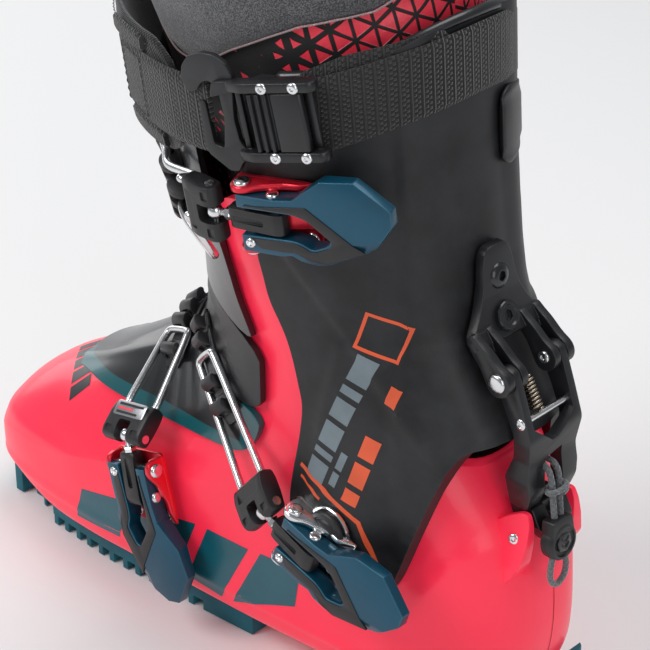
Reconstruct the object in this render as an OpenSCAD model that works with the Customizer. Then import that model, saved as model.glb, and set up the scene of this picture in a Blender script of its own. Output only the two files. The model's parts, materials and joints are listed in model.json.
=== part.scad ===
// Three-piece alpine touring ski boot, left foot.
// X runs from toe (-) to heel (+), Y from the lateral side (-) to the medial side (+), Z up.
// The origin is on the floor, on the centre line, halfway along the sole.

/* [Boot] */
// Length of the sole from toe lip to heel lip
sole_len = 315; // [313:1:317]
// Width of the lower shell at the ball of the foot
ball_w = 107; // [105:1:108]
// Wall thickness of the lower shell
shell_wall = 4.5; // [4:0.5:5]
// Wall thickness of the cuff
cuff_wall = 3.6; // [3.4:0.2:3.8]
// Wall thickness of the tongue
tongue_wall = 3.2; // [3:0.2:3.4]
// Gap between shell and tongue, and between shell and cuff
skin_gap = 1.2; // [1:0.2:1.4]

/* [Sole] */
// Thickness of the rubber sole under the shell
sole_t = 13; // [12:1:14]
// Height of the toe ledge that a binding holds
toe_ledge_z = 19; // [19:0.5:20]
// Height of the heel ledge that a binding holds
heel_ledge_z = 30; // [29:0.5:31]
// Depth of the tread grooves
tread_depth = 5; // [3:0.5:6]

/* [Ankle pivot] */
// Distance of the pivot behind mid sole
pivot_x = 85; // [84:0.5:86]
// Height of the pivot above the floor
pivot_z = 97; // [96:0.5:98]
// Radius of the pivot bolt
pivot_r = 6; // [5:0.5:6.5]

/* [Buckles] */
// Length of a buckle lever
lever_len = 76; // [72:1:78]
// Radius of the hinge pins of the buckles
hinge_r = 2; // [1.5:0.25:2.25]
// Distance from a lever's hinge to its arm pin
throw = 13; // [11:0.5:14]
// Diameter of the wire bails
wire_d = 3.4; // [3:0.2:3.6]

/* [Power strap] */
// Thickness of the strap webbing
webbing_t = 1.8; // [1.4:0.2:2]

/* [Walk lever] */
// Hinge of the walk lever behind mid sole
walk_x = 140; // [139.5:0.25:140.5]
// Height of the hinge of the walk lever
walk_z = 173.5; // [173:0.25:174]
// Radius of the hinge pin of the walk lever
walk_pin_r = 2.5; // [2:0.25:2.75]
// Diameter of the pull cord
cord_d = 2.6; // [2.4:0.1:2.8]

/* [Hidden] */

$fn = 48;
run_clear = 0.05;
sx = sole_len / 315;
sy = ball_w / 107;

pink = [1.0, 0.25, 0.36];
charcoal = [0.17, 0.17, 0.18];
black = [0.07, 0.07, 0.08];
petrol = [0.04, 0.30, 0.42];
teal = [0.0, 0.45, 0.50];
steel = [0.80, 0.81, 0.83];
red = [0.90, 0.12, 0.18];
grey = [0.42, 0.43, 0.45];

// ---- lower-shell surface: fan sections, from the toe round the heel to the leg ----
// top x, top z, bottom x, bottom z, half width, top roundness, bottom roundness, taper
FOOT = [
  [-154, 46, -154, 27, 24, 2.2, 3.0, 0.10],
  [-151, 58, -151, 24, 36, 2.2, 3.6, 0.12],
  [-142, 68, -142, 22, 44, 2.2, 5.0, 0.15],
  [-125, 78, -125, 20, 49.5, 2.1, 7.0, 0.18],
  [-101, 89, -101, 14, 52.5, 2.0, 8.0, 0.24],
  [-75, 105, -73, 13, 53.5, 1.9, 8.0, 0.32],
  [-54, 119, -43, 13, 52.5, 1.8, 8.0, 0.40],
  [-39, 131, -10, 13, 51, 1.75, 8.0, 0.44],
  [-31, 143, 28, 13, 49.5, 1.75, 8.0, 0.40],
  [-27, 156, 70, 13, 47.5, 1.85, 7.0, 0.26],
  [-25, 168, 112, 14, 46.5, 1.95, 5.5, 0.12],
  [-25, 180, 140, 17, 46, 2.0, 4.0, 0.04],
  [-26, 190, 152, 32, 45.5, 2.0, 3.0, 0],
  [-27, 200, 156, 54, 45.5, 2.05, 2.5, 0],
  [-29, 209, 155, 80, 45.5, 2.1, 2.4, 0],
  [-31, 218, 146, 103, 46, 2.1, 2.3, 0],
  [-33, 227, 135, 121, 46.5, 2.1, 2.3, 0],
  [-36, 237, 122, 139, 47, 2.1, 2.3, 0],
  [-39, 251, 112, 160, 47.5, 2.1, 2.3, 0],
  [-43, 271, 106, 198, 48.5, 2.1, 2.3, 0]
];
foot_last = len(FOOT) - 1;

// ---- cuff surface: level rings, height, centre x, half length, half width ----
LEG = [
  [60, 78, 86, 52], [97, 72, 84, 53], [125, 67, 83, 53], [150, 61, 85, 53], [170, 53, 80, 53.5],
  [188, 47, 75, 55], [207, 43, 74.5, 57], [235, 35, 78, 61], [260, 30, 80, 64], [305, 25, 82, 65],
  [335, 22, 82, 65]
];

function sgn_pow(v, e) = sign(v) * pow(abs(v), e);
function mix(a, b, f) = a * (1 - f) + b * f;
function row(table, u) = let (i = min(floor(u), len(table) - 2), f = u - i)
  mix(table[i], table[i + 1], f);

// point of the foot surface: u along the fan, t round the section, off outwards
function foot_pt(u, t, off = 0) =
  let (r = row(FOOT, u), a = [r[0] * sx, r[1]], b = [r[2] * sx, r[3]],
       c = (a + b) / 2, h0 = norm(a - b) / 2, d = (a - b) / (2 * h0),
       h = h0 + off, w = r[4] * sy + off, e = sin(t) >= 0 ? r[5] : r[6],
       s = sgn_pow(sin(t), 2 / e), y = sgn_pow(cos(t), 2 / e) * w * (1 - r[7] * max(s, 0)),
       p = c + d * h * s)
  [p[0], y, p[1]];

function leg_row(z) = let (i = max([for (k = [0 : len(LEG) - 2]) if (LEG[k][0] <= z) k]),
  f = (z - LEG[i][0]) / (LEG[i + 1][0] - LEG[i][0])) mix(LEG[i], LEG[i + 1], f);
// point of the cuff surface at height z, angle t from the heel, off outwards
function leg_pt(z, t, off = 0) = let (r = leg_row(z))
  [r[1] * sx + (r[2] + off) * cos(t), (r[3] * sy + off) * sin(t), z];

// closed solid through rings of equal length
module loft(rings) {
  n = len(rings[0]);
  m = len(rings);
  points = concat([for (r = rings) each r], [ring_mid(rings[0]), ring_mid(rings[m - 1])]);
  sides = [for (i = [0 : m - 2], j = [0 : n - 1], k = [0, 1])
    let (a = i * n + j, b = i * n + (j + 1) % n, c = b + n, d = a + n)
    k == 0 ? [a, c, b] : [a, d, c]];
  first_cap = [for (j = [0 : n - 1]) [j, (j + 1) % n, m * n]];
  last_cap = [for (j = [0 : n - 1]) [(m - 1) * n + (j + 1) % n, (m - 1) * n + j, m * n + 1]];
  polyhedron(points, concat(sides, first_cap, last_cap), convexity = 8);
}
function ring_mid(r) = [for (i = [0 : 2]) (min([for (p = r) p[i]]) + max([for (p = r) p[i]])) / 2];

// lofted skins with cuts stay one closed mesh
module skin() resize([0, 0, 0]) children();

module foot_solid(off, u0 = 0, u1 = foot_last, steps = 30, sides = 40)
  loft([for (i = [0 : steps]) let (u = u0 + (u1 - u0) * i / steps)
    [for (j = [0 : sides - 1]) foot_pt(u, 360 * j / sides, off)]]);
module leg_solid(off, z0, z1, steps = 14, sides = 40)
  loft([for (i = [0 : steps]) let (z = z0 + (z1 - z0) * i / steps)
    [for (j = [0 : sides - 1]) leg_pt(z, 360 * j / sides, off)]]);
// prism across the boot with a given side view
module side_view(outline, y0 = -90, y1 = 90)
  translate([0, y1, 0]) rotate([90, 0, 0]) linear_extrude(y1 - y0) polygon(outline);

function unit(v) = v / norm(v);
// smooth curve through the route's points
function curve(r, i, f) = let (n = len(r) - 1, a = r[max(i - 1, 0)], b = r[i], c = r[min(i + 1, n)],
  d = r[min(i + 2, n)])
  0.5 * ((2 * b) + (c - a) * f + (2 * a - 5 * b + 4 * c - d) * f * f + (3 * b - a - 3 * c + d) * f * f * f);
function cord_path(r) = concat([for (i = [0 : len(r) - 2], f = [0, 0.5]) curve(r, i, f)], [r[len(r) - 1]]);
// rings carried along the path without twisting
function carried(path, i = 0, n = [0, 0, 1]) = let (last = len(path) - 1,
  d = unit(path[min(i + 1, last)] - path[max(i - 1, 0)]), m = unit(n - d * (n * d)))
  i == last ? [[d, m]] : concat([[d, m]], carried(path, i + 1, m));
module tube(route, r, sides = 8) {
  path = cord_path(route);
  frames = carried(path);
  loft([for (i = [0 : len(path) - 1]) let (m = frames[i][1], b = cross(frames[i][0], m))
    [for (k = [0 : sides - 1]) path[i] + r * (m * cos(360 * k / sides) + b * sin(360 * k / sides))]]);
}

// ================================ lower shell ================================
SHELL_SIDE = [
  [-170, 0], [170, 0], [170, 118], [136, 124], [112, 137], [92, 146], [76, 160], [64, 190], [52, 216],
  [40, 224], [14, 222], [16, 200], [20, 178], [25, 161], [28, 141], [27, 126], [18, 115], [3, 110],
  [-22, 105], [-51, 101], [-76, 98], [-84, 96], [-90, 130], [-170, 130]
];
module pivot_holes(r) {
  for (s = [-1, 1]) translate([pivot_x, s * 48, pivot_z]) rotate([90, 0, 0]) cylinder(r = r, h = 30, center = true);
}
module lower_shell() color(pink) skin() intersection() {
  difference() {
    foot_solid(0);
    foot_solid(-shell_wall, 0.4, foot_last + 0.3);
    pivot_holes(pivot_r + 0.4);
  }
  side_view(SHELL_SIDE);
}

// ================================ sole ================================
// half width of the sole at a place along the boot
SOLE_PLAN = [[-157.5, 22], [-154, 30], [-148, 34.5], [-118, 34.5], [-112, 41], [-70, 43], [-30, 41],
  [20, 37], [70, 35], [120, 35], [146, 33], [154, 27], [157.5, 18]];
function plan_outline(from, to) = let (mid = [for (p = SOLE_PLAN) if (p[0] >= from && p[0] <= to) [p[0] * sx, p[1]]])
  concat(mid, [for (i = [len(mid) - 1 : -1 : 0]) [mid[i][0], -mid[i][1]]]);
module tread(from, to, step) for (x = [from : step : to]) {
  translate([x, 0, 0]) cube([5, 100, 2 * tread_depth], center = true);
  for (s = [-1, 1]) translate([x + step / 2, s * 40, 0]) cube([6, 18, 2 * tread_depth], center = true);
}
insert_z = 13.3;
insert_r = 4.7;
module sole_toe() color(teal) difference() {
  union() {
    linear_extrude(sole_t) polygon(plan_outline(-160, 20));
    intersection() {
      linear_extrude(toe_ledge_z) polygon(plan_outline(-160, -104));
      side_view([[-160, -1], [-99, -1], [-99, 13], [-124, 19.4], [-160, 19.4]]);
    }
  }
  tread(-140, -10, 17);
  translate([0, 0, tread_depth]) linear_extrude(40, center = true)
    for (s = [-1, 1]) translate([-135, s * 36]) square([16, 11], center = true);
  translate([-135, 0, insert_z]) rotate([90, 0, 0]) cylinder(r = insert_r, h = 100, center = true);
  sole_bores(-150, 20);
}
module sole_heel() color(teal) difference() {
  union() {
    linear_extrude(sole_t) polygon(plan_outline(70, 160));
    linear_extrude(heel_ledge_z) polygon(plan_outline(134, 160));
  }
  side_view([[60, 13.3], [138, 13.3], [144, 17.5], [153.3, 31.5], [153.3, 50], [60, 50]]);
  tread(84, 146, 17);
  translate([157.5 * sx - 3, -11, 4]) cube([10, 22, 24]);
  sole_bores(70, 140);
}
SCREWS = [[-112, 24], [-112, -24], [-60, 28], [-60, -28], [-5, 24], [-5, -24],
  [84, 22], [84, -22], [128, 20], [128, -20]];
module sole_bores(from, to) for (p = SCREWS) if (p[0] >= from && p[0] <= to) {
  translate([p[0], p[1], -1]) cylinder(r = 2.2, h = 40);
  translate([p[0], p[1], -1]) cylinder(r = 4.6, h = tread_depth + 2.5);
}
module sole_screws() color(steel) for (p = SCREWS) translate([p[0], p[1], tread_depth + 1.5]) difference() {
  union() {
    cylinder(r = 4.2, h = 2.4);
    cylinder(r = 1.9, h = sole_t - tread_depth - 2);
  }
  translate([0, 0, -1]) cylinder(r = 1.6, h = 2.4, $fn = 6);
}
module toe_insert() color(steel) translate([-135, 0, insert_z]) rotate([90, 0, 0]) difference() {
  cylinder(r = insert_r, h = 61, center = true);
  for (s = [-1, 1]) translate([0, 0, s * 30.5]) cylinder(r = 2.6, h = 10, center = true);
}
module heel_insert() color(steel) translate([157.2 * sx - 2.4, 0, 0]) difference() {
  translate([0, -10.7, 4.3]) cube([2.4, 21.4, 23.4]);
  for (s = [-1, 1]) translate([-1, s * 4.5 - 1.5, 0]) cube([5, 3, 19]);
  for (z = [23.5]) translate([-1, 0, z]) rotate([0, 90, 0]) cylinder(r = 2.1, h = 5);
}
BOARD_PLAN = [[-122, 18], [-105, 29], [-75, 34], [-20, 33], [40, 30], [100, 29], [125, 24], [136, 12]];
module boot_board() color(grey) translate([0, 0, 25.5]) linear_extrude(4)
  polygon(concat(BOARD_PLAN, [for (i = [len(BOARD_PLAN) - 1 : -1 : 0]) [BOARD_PLAN[i][0], -BOARD_PLAN[i][1]]]));

// ================================ liner ================================
liner_gap = 0.7;
liner_t = 6.5;
LINER_LEG = [[129, 50, 74, 35.5], [150, 50, 74, 36.5], [170, 50, 70, 37.5], [207, 43, 66, 38], [235, 37, 67, 41.5],
  [260, 32, 70, 52], [300, 23, 76, 58.5], [345, 13, 76, 57]];
function liner_row(z) = let (i = max([for (k = [0 : len(LINER_LEG) - 2]) if (LINER_LEG[k][0] <= max(z, 129)) k]),
  f = (z - LINER_LEG[i][0]) / (LINER_LEG[i + 1][0] - LINER_LEG[i][0])) mix(LINER_LEG[i], LINER_LEG[i + 1], f);
module liner_leg(off, z0, z1, steps = 12, sides = 36) loft([for (i = [0 : steps])
  let (z = z0 + (z1 - z0) * i / steps, r = liner_row(z))
  [for (j = [0 : sides - 1]) let (t = 360 * j / sides) [r[1] + (r[2] + off) * cos(t), (r[3] + off) * sin(t), z]]]);
module liner_foot() color(black) skin() intersection() {
  difference() {
    foot_solid(-shell_wall - liner_gap, 0.8, foot_last, 24, 32);
    foot_solid(-shell_wall - liner_gap - liner_t, 1.2, foot_last + 0.3, 24, 32);
  }
  side_view([[-170, 30], [170, 30], [170, 100], [140, 124], [60, 126.5], [-60, 126.5], [-170, 60]]);
}
module liner_shaft() color(black) skin() difference() {
  liner_leg(0, 129, 345);
  liner_leg(-liner_t, 120, 350);
  side_view([[-100, 100], [85, 100], [85, 129.5], [-100, 162]]);
  side_view([[-100, 318], [-20, 330], [120, 346], [120, 360], [-100, 360]]);
}

// ================================ tongue ================================
module tongue_piece(outline) color(charcoal) skin() intersection() {
  difference() {
    foot_solid(skin_gap + tongue_wall, 2, foot_last, 36, 48);
    foot_solid(skin_gap, 1.6, foot_last + 0.3, 36, 48);
  }
  side_view(outline);
}
module tongue_lower() tongue_piece([[-112, 130], [-110, 84], [-93, 88], [-76, 90], [-51, 93], [-22, 97], [3, 101],
  [28, 105], [37, 116], [39, 128], [-60, 128], [-60, 140]]);
module tongue_bellows() tongue_piece([[-60, 128.6], [39, 128.6], [39, 160], [-20, 171], [-60, 178]]);
module tongue_upper() tongue_piece([[-60, 178.6], [-20, 171.6], [36, 160.6], [31, 169], [25, 178], [21, 191],
  [10, 225], [2, 262], [-90, 280]]);

// ---- frames on the foot surface: x down the side, z outwards ----
function foot_axes(u, t) = let (p = foot_pt(u, t), a = unit(foot_pt(u, t + 0.5) - foot_pt(u, t - 0.5)),
  b = foot_pt(u + 0.05, t) - foot_pt(u - 0.05, t), n0 = unit(cross(a, b)),
  n = n0[0] * (p[0] - 40) + n0[1] * p[1] + n0[2] * (p[2] - 60) > 0 ? n0 : -n0)
  [a, cross(n, a), n];
module in_axes(axes, origin) multmatrix([for (i = [0 : 2])
  [axes[0][i], axes[1][i], axes[2][i], origin[i]]]) children();
module on_foot(u, t, off) in_axes(foot_axes(u, t), foot_pt(u, t, off)) children();
// hooked teeth, each one a link of the row; the hook's back faces the instep ridge
module tooth(h, w) rotate([90, 0, 0]) translate([0, 0, -w / 2]) linear_extrude(w)
  polygon([[-4.2, 0], [4.2, 0], [4.2, 1.2], [1.5, 1.6], [1.5, h], [-1, h], [-1, 1.6], [-4.2, 1.2]]);
TOE_TEETH = [[6.9, 130], [6.8, 114.6], [6.8, 105.6], [6.75, 96.6]];
ANKLE_TEETH = [[10.05, 156.5], [9.88, 149.9], [9.6, 137.5]];
TOP_TEETH = [[16.85, 137], [16.0, 115.5]];
module ladder(teeth, h, w) color(black) for (p = teeth) on_foot(p[0], p[1], skin_gap + tongue_wall + 0.7) tooth(h, w);
module toe_ladder() ladder(TOE_TEETH, 6.5, 12);
module ankle_ladder() ladder(ANKLE_TEETH, 6.5, 10);
module top_ladder() ladder(TOP_TEETH, 9, 16);

// ================================ cuff ================================
CUFF_SIDE = [[47, 287], [47, 215], [50, 200], [52, 190], [58, 180], [62, 170], [66, 155], [68, 147], [66, 131],
  [62, 114], [59, 97], [61, 82], [72, 73], [95, 70], [109, 72], [115, 82], [122, 108], [127, 127], [133, 142],
  [138, 147], [160, 148], [160, 320], [112, 316], [106, 310], [97, 302], [79, 292], [60, 288]];
module cuff() color(charcoal) skin() difference() {
  intersection() {
    difference() {
      leg_solid(0, 62, 325, 26, 64);
      leg_solid(-cuff_wall, 61, 330, 26, 64);
    }
    side_view(CUFF_SIDE);
  }
  pivot_holes(9.3);
}
cuff_in_y = 53 - cuff_wall;
module cuff_pivots() color(black) for (s = [-1, 1]) 
  translate([pivot_x, 0, pivot_z]) rotate([-90 * s, 0, 0]) difference() {
  union() {
    translate([0, 0, 40]) cylinder(r = 9, h = 1.8);
    translate([0, 0, 40]) cylinder(r = pivot_r, h = 17);
    translate([0, 0, 56.2]) cylinder(r = 9, h = 2);
  }
  translate([0, 0, 56.8]) cylinder(r = 2.5, h = 3, $fn = 6);
}
module pivot_bushings() color(steel) for (s = [-1, 1]) translate([pivot_x, 0, pivot_z]) rotate([-90 * s, 0, 0])
  translate([0, 0, cuff_in_y]) difference() {
    cylinder(r = 9, h = 4.2);
    translate([0, 0, -1]) cylinder(r = pivot_r + run_clear, h = 8);
  }

// ================================ buckles ================================
// hinge centre, then turns about X, Y, Z that lay the lever along the skin; the local x runs to the lever's tip,
// y is the hinge axis and z points outwards
TOE = [[-28.5, -60, 79], [90, 75, 0]];
INSTEP = [[68.7, -62.5, 90.4], [90, 17, 0]];
TOP = [[53, -66.5, 232], [97.5, -5.7, 14.5]];
module at(place) translate(place[0]) rotate(place[1]) children();
rail_out = 11.5;
eye_x = -15;
knuckle_r = 3.6;
lever_t = 7;
LEVER = [[0, 11.5], [12, 11.5], [19, 12.5], [27, 17], [36, 21.5], [50, 20.5], [lever_len - 12, 6],
  [lever_len - 14, -3], [55, -8.5], [44, -12.5], [29, -16], [20, -13], [12, -11.5], [0, -11.5]];
SLOT = [[-20, 6], [22, 6], [35, 0], [31, -5], [22, -6], [-20, -6]];
module across(x, r, half) translate([x, 0, 0]) rotate([90, 0, 0]) cylinder(r = r, h = 2 * half, center = true);
module lever() color(petrol) difference() {
  union() {
    translate([0, 0, -2.6]) linear_extrude(lever_t) polygon(LEVER);
    across(0, knuckle_r, rail_out);
  }
  translate([0, 0, -10]) linear_extrude(30) polygon(SLOT);
  translate([-6, -7.2, 3]) cube([26, 14.4, 4]);
  for (x = [0, throw]) across(x, hinge_r, 30);
}
module lever_inlay() color(black) translate([0, 0, lever_t - 2.6]) linear_extrude(0.9) for (s = [-1, 1])
  polygon([[2, s * 8.2], [22, s * 8.2], [36, 2 + s * 6], [44, 2 + s * 8], [24, s * 10.8], [2, s * 10.8]]);
// stub pins of the lever's hinge and the cross pin that carries the arm
module lever_pins() color(steel) {
  across(throw, hinge_r, 11.4);
  for (s = [-1, 1]) translate([0, s * 6.4, 0]) rotate([-90 * s, 0, 0]) cylinder(r = hinge_r, h = 8.6);
}
module arm() color(black) difference() {
  translate([-7, -4.6, -3]) cube([throw + 12, 9.2, 6]);
  across(throw, hinge_r + run_clear, 10);
  translate([-8, 0, 0]) rotate([0, 90, 0]) cylinder(r = 1.6, h = 8);
}
module eyebolt(lean) color(steel) difference() {
  union() {
    translate([eye_x, 0, 0]) rotate([0, 0, lean[1]]) across(0, 3.2, 3.3);
    translate([eye_x, 0, 0]) rotate([0, 90, 0]) cylinder(r = 1.5, h = -eye_x);
    translate([-9.4, 0, 0]) rotate([0, 90, 0]) cylinder(r = 2.6, h = 2.2);
  }
  translate([eye_x, 0, 0]) rotate([0, 0, lean[1]]) across(0, 1.3, 10);
}
// riveted base with two ears and a low flange under the wide part of the lever
RIVET_X = [6, 21];
module base(plate_z) color(red) difference() {
  union() {
    translate([-6, -15, plate_z]) cube([34, 30, 1.8]);
    for (s = [-1, 1]) {
      translate([-5, s * 13.3 - 1.5, plate_z]) cube([13, 3, -plate_z + 3.2]);
      translate([8, s * 13.3 - 1.5, plate_z]) cube([20, 3, -plate_z - 3.1]);
    }
  }
  across(0, hinge_r + run_clear, 30);
  for (x = RIVET_X) translate([x, 0, plate_z - 1]) cylinder(r = 2, h = 4);
}
module rivets(plate_z) color(steel) for (x = RIVET_X) translate([x, 0, plate_z]) {
  cylinder(r = 2, h = 1.8);
  translate([0, 0, 1.8]) cylinder(r = 3, h = 0.5);
}

// ---- places in the boot of points given in a buckle's own axes ----
function turn(r) = [
  [cos(r[1]) * cos(r[2]), sin(r[0]) * sin(r[1]) * cos(r[2]) - cos(r[0]) * sin(r[2]),
   cos(r[0]) * sin(r[1]) * cos(r[2]) + sin(r[0]) * sin(r[2])],
  [cos(r[1]) * sin(r[2]), sin(r[0]) * sin(r[1]) * sin(r[2]) + cos(r[0]) * cos(r[2]),
   cos(r[0]) * sin(r[1]) * sin(r[2]) - sin(r[0]) * cos(r[2])],
  [-sin(r[1]), sin(r[0]) * cos(r[1]), cos(r[0]) * cos(r[1])]];
function from_place(place, p) = place[0] + turn(place[1]) * p;
function from_eye(place, lean, p) = from_place(place, [eye_x, 0, 0] + turn([0, lean[0], lean[1]]) * p);
block_len = 18;
block_half = 12;
module block() color(black) difference() {
  translate([-14, -block_half, -4]) cube([block_len, 2 * block_half, 8]);
  translate([-5.3, -4.7, -6]) cube([20, 9.4, 12]);
  across(0, 1.25, 30);
}
module at_eye(place, lean) at(place) translate([eye_x, 0, 0]) rotate([0, lean[0], lean[1]]) children();
// wire loop from the block to a cross bar that sits behind a tooth; mids are surface places on the way
function bail_side(place, lean, c, ax, half, hole, mids) = let (start = from_eye(place, lean, [-14.2, hole, 0]),
  way = concat([start, from_eye(place, lean, [-18, hole, 0])], [for (m = mids) foot_pt(m[0], m[1], m[2])]),
  corner = c + ax * half, back = way[len(way) - 1] - corner)
  concat(way, [corner + back * 0.5, corner + unit(back) * 5, corner - ax + unit(back), c + ax * (half - 5)]);
module bail(place, lean, cross, half, mids_a = [], mids_b = []) color(steel) {
  ax = foot_axes(cross[0], cross[1])[1];
  side = ax * (turn(place[1]) * [0, 1, 0]) > 0 ? 1 : -1;
  c = foot_pt(cross[0], cross[1], cross[2]);
  route_a = bail_side(place, lean, c, ax * side, half, block_half - 3, mids_a);
  route_b = bail_side(place, lean, c, -ax * side, half, 3 - block_half, mids_b);
  tube(concat(route_a, [for (i = [len(route_b) - 1 : -1 : 0]) route_b[i]]), wire_d / 2, 12);
  at_eye(place, lean) across(0, 1.25, block_half);
}
TOE_LEAN = [-50, -3];
INSTEP_LEAN = [-16, -23];
TOP_LEAN = [-18, 0];
TOE_PLATE = -6.2;
INSTEP_PLATE = -8.2;
TOP_PLATE = -6.8;
TOE_CROSS = [6.8, 122, 9];
INSTEP_CROSS = [9.7, 143.5, 9];
TOP_CROSS = [16.0, 124, 11.6];

module toe_base() at(TOE) base(TOE_PLATE);
module toe_lever() at(TOE) lever();
module toe_lever_inlay() at(TOE) lever_inlay();
module toe_pins() at(TOE) lever_pins();
module toe_arm() at(TOE) arm();
module toe_eyebolt() at(TOE) eyebolt(TOE_LEAN);
module toe_block() at_eye(TOE, TOE_LEAN) block();
module toe_bail() bail(TOE, TOE_LEAN, TOE_CROSS, 9);

// the instep base hangs on the cuff's pivot bolt and on a spacer that stands on the shell
pivot_in_base = [13.66, 11.07];
module instep_base() color(steel) at(INSTEP) difference() {
  union() {
    base(INSTEP_PLATE);
    translate([pivot_in_base[0], pivot_in_base[1], INSTEP_PLATE]) cylinder(r = 10, h = 1.8);
    translate([-13, -14, INSTEP_PLATE]) cube([8, 9, 1.8]);
    translate([-9.5, -9.5, INSTEP_PLATE - 5.2]) cylinder(r = 3.5, h = 6);
  }
  translate([pivot_in_base[0], pivot_in_base[1], INSTEP_PLATE - 1]) cylinder(r = pivot_r + 0.1, h = 4);
  translate([-9.5, -9.5, INSTEP_PLATE - 6]) cylinder(r = 2, h = 10);
}
module instep_lever() at(INSTEP) lever();
module instep_lever_inlay() at(INSTEP) lever_inlay();
module instep_pins() at(INSTEP) lever_pins();
module instep_arm() at(INSTEP) arm();
module instep_eyebolt() at(INSTEP) eyebolt(INSTEP_LEAN);
module instep_block() at_eye(INSTEP, INSTEP_LEAN) block();
module instep_bail() bail(INSTEP, INSTEP_LEAN, INSTEP_CROSS, 9);
module base_rivets() {
  at(TOE) rivets(TOE_PLATE);
  at(INSTEP) color(steel) translate([-9.5, -9.5, INSTEP_PLATE - 5]) {
    cylinder(r = 2, h = 6.8);
    translate([0, 0, 6.8]) cylinder(r = 3, h = 0.6);
  }
}

module top_base() at(TOP) base(TOP_PLATE);
module top_lever() at(TOP) lever();
module top_lever_inlay() at(TOP) lever_inlay();
module top_pins() at(TOP) lever_pins();
module top_arm() at(TOP) arm();
module top_eyebolt() at(TOP) eyebolt(TOP_LEAN);
module top_block() at_eye(TOP, TOP_LEAN) block();
module top_bail() bail(TOP, TOP_LEAN, TOP_CROSS, 12.5, [[18.6, 168, 11], [17.6, 148, 12]],
  [[17.0, 168, 11], [16.0, 148, 12]]);
module top_rivets() at(TOP) rivets(TOP_PLATE);

// ================================ power strap ================================
// lower and upper edge heights of the strap at a place along the boot
function strap_low(x) = x < 20 ? 240 : 240 + (x - 20) * 0.30 + pow((x - 20) / 90, 2) * 14;
function strap_high(x) = strap_low(x) + 31 - max(0, x - 60) * 0.08;
function band_ring(t, off0, off1, z0, z1) = [leg_pt(z0, t, off0), leg_pt(z1, t, off0),
  leg_pt(z1, t, off1), leg_pt(z0, t, off1)];
function leg_x(t) = 28 + 80 * cos(t);
module band(t0, t1, off0, off1, pad = 0) {
  steps = ceil(abs(t1 - t0) / 5);
  loft([for (i = [0 : steps]) let (t = t0 + (t1 - t0) * i / steps, x = leg_x(t))
    band_ring(t, off0, off1, strap_low(x) + pad * 0.2, strap_high(x) + pad)]);
}
module power_strap() color(black) skin() band(-62, 108, 0.5, 0.5 + webbing_t);
module strap_pad() color(black) skin() band(112, 262, 1, 6.2, 20);
HOOK = [[42.5, -68, 268], [92, -8, 10]];
module strap_hook() color(black) at(HOOK) linear_extrude(2.6) difference() {
  polygon([[-8, 19], [4, 20], [9, 14], [9, -12], [5, -18], [-1, -19], [-4, -15], [-4, -9], [-8, -6]]);
  polygon([[1, 13], [4.5, 12], [4.5, -11], [1, -12]]);
}
CAM = [[66.5, -62.6, 275.5], [92, -11, 19]];
cam_x = -8;
module cam_frame() color(charcoal) at(CAM) difference() {
  union() {
    for (s = [-1, 1]) translate([-16, s * 13.7 - 1.7, -1]) cube([32, 3.4, 6]);
    translate([-16, -14, -1]) cube([2.4, 28, 2.6]);
    translate([12.6, -14, -1]) cube([3.4, 28, 2.6]);
  }
  across(cam_x, 1.5 + run_clear, 30);
  for (s = [-1, 1], x = [-2, 11]) translate([x, s * 13.7, 2]) cylinder(r = 1.1, h = 6);
}
module cam_lever() color(black) at(CAM) {
  difference() {
    translate([-8.6, -11.6, 1.8]) cube([20.6, 23.2, 3.4]);
    for (x = [-6.6, -3.2, 0.2]) translate([x, -15, 4.6]) cube([1.4, 30, 3]);
  }
  across(cam_x, 1.5, 15.2);
  translate([cam_x, 0, 0]) rotate([90, 0, 0]) cylinder(r = 2.2, h = 23.2, center = true);
}
module strap_screws() color(steel) at(CAM) for (s = [-1, 1], x = [-2, 11]) translate([x, s * 13.7, 2]) {
  cylinder(r = 1.05, h = 3);
  translate([0, 0, 3]) cylinder(r = 1.6, h = 0.6);
}
module rear_spoiler() color(grey) skin() loft([for (t = [12 : 4 : 40]) let (top = strap_low(leg_x(t)) - 2)
  [leg_pt(244, t, 0.5), leg_pt(top, t, 0.5), leg_pt(top, t, 3.2), leg_pt(244, t, 4)]]);

// ================================ walk mechanism ================================
ear_in = 15.5;
ear_out = 20;
arm_in = 10.5;
arm_out = 15.2;
module front_view(outline, x0 = 60, x1 = 180) translate([x0, 0, 0]) rotate([90, 0, 90])
  linear_extrude(x1 - x0) polygon(outline);
module walk_bracket() color(charcoal) difference() {
  union() {
    intersection() {
      side_view([[116.8, 218], [119.8, 218], [123.4, 200], [126.4, 188], [134.5, 179.5], [136, 167], [131.5, 174.6],
        [127.6, 180.2], [122.8, 188.3], [119.9, 200]]);
      front_view([[-5, 218], [5, 218], [9, 212], [10, 203], [15, 192], [21, 184], [21, 160], [15.6, 160], [15.6, 180],
        [-15.6, 180], [-15.6, 160], [-21, 160], [-21, 184], [-15, 192], [-10, 203], [-9, 212]]);
    }
    for (s = [-1, 1]) translate([0, s * (ear_in + ear_out) / 2, 0]) {
      translate([walk_x, 0, walk_z]) rotate([90, 0, 0]) cylinder(r = 5.6, h = ear_out - ear_in, center = true);
      side_view([[126.4, 184], [131.5, 183], [walk_x + 1, walk_z + 5.5], [walk_x + 3, walk_z],
        [walk_x - 3, walk_z - 5],
        [133.5, 172]], (ear_in - ear_out) / 2, (ear_out - ear_in) / 2);
    }
  }
  translate([walk_x, 0, walk_z]) rotate([90, 0, 0]) cylinder(r = walk_pin_r, h = 60, center = true);
  for (b = BOLTS) at(b) cylinder(r = 2.6, h = 20, center = true);
}
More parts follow.
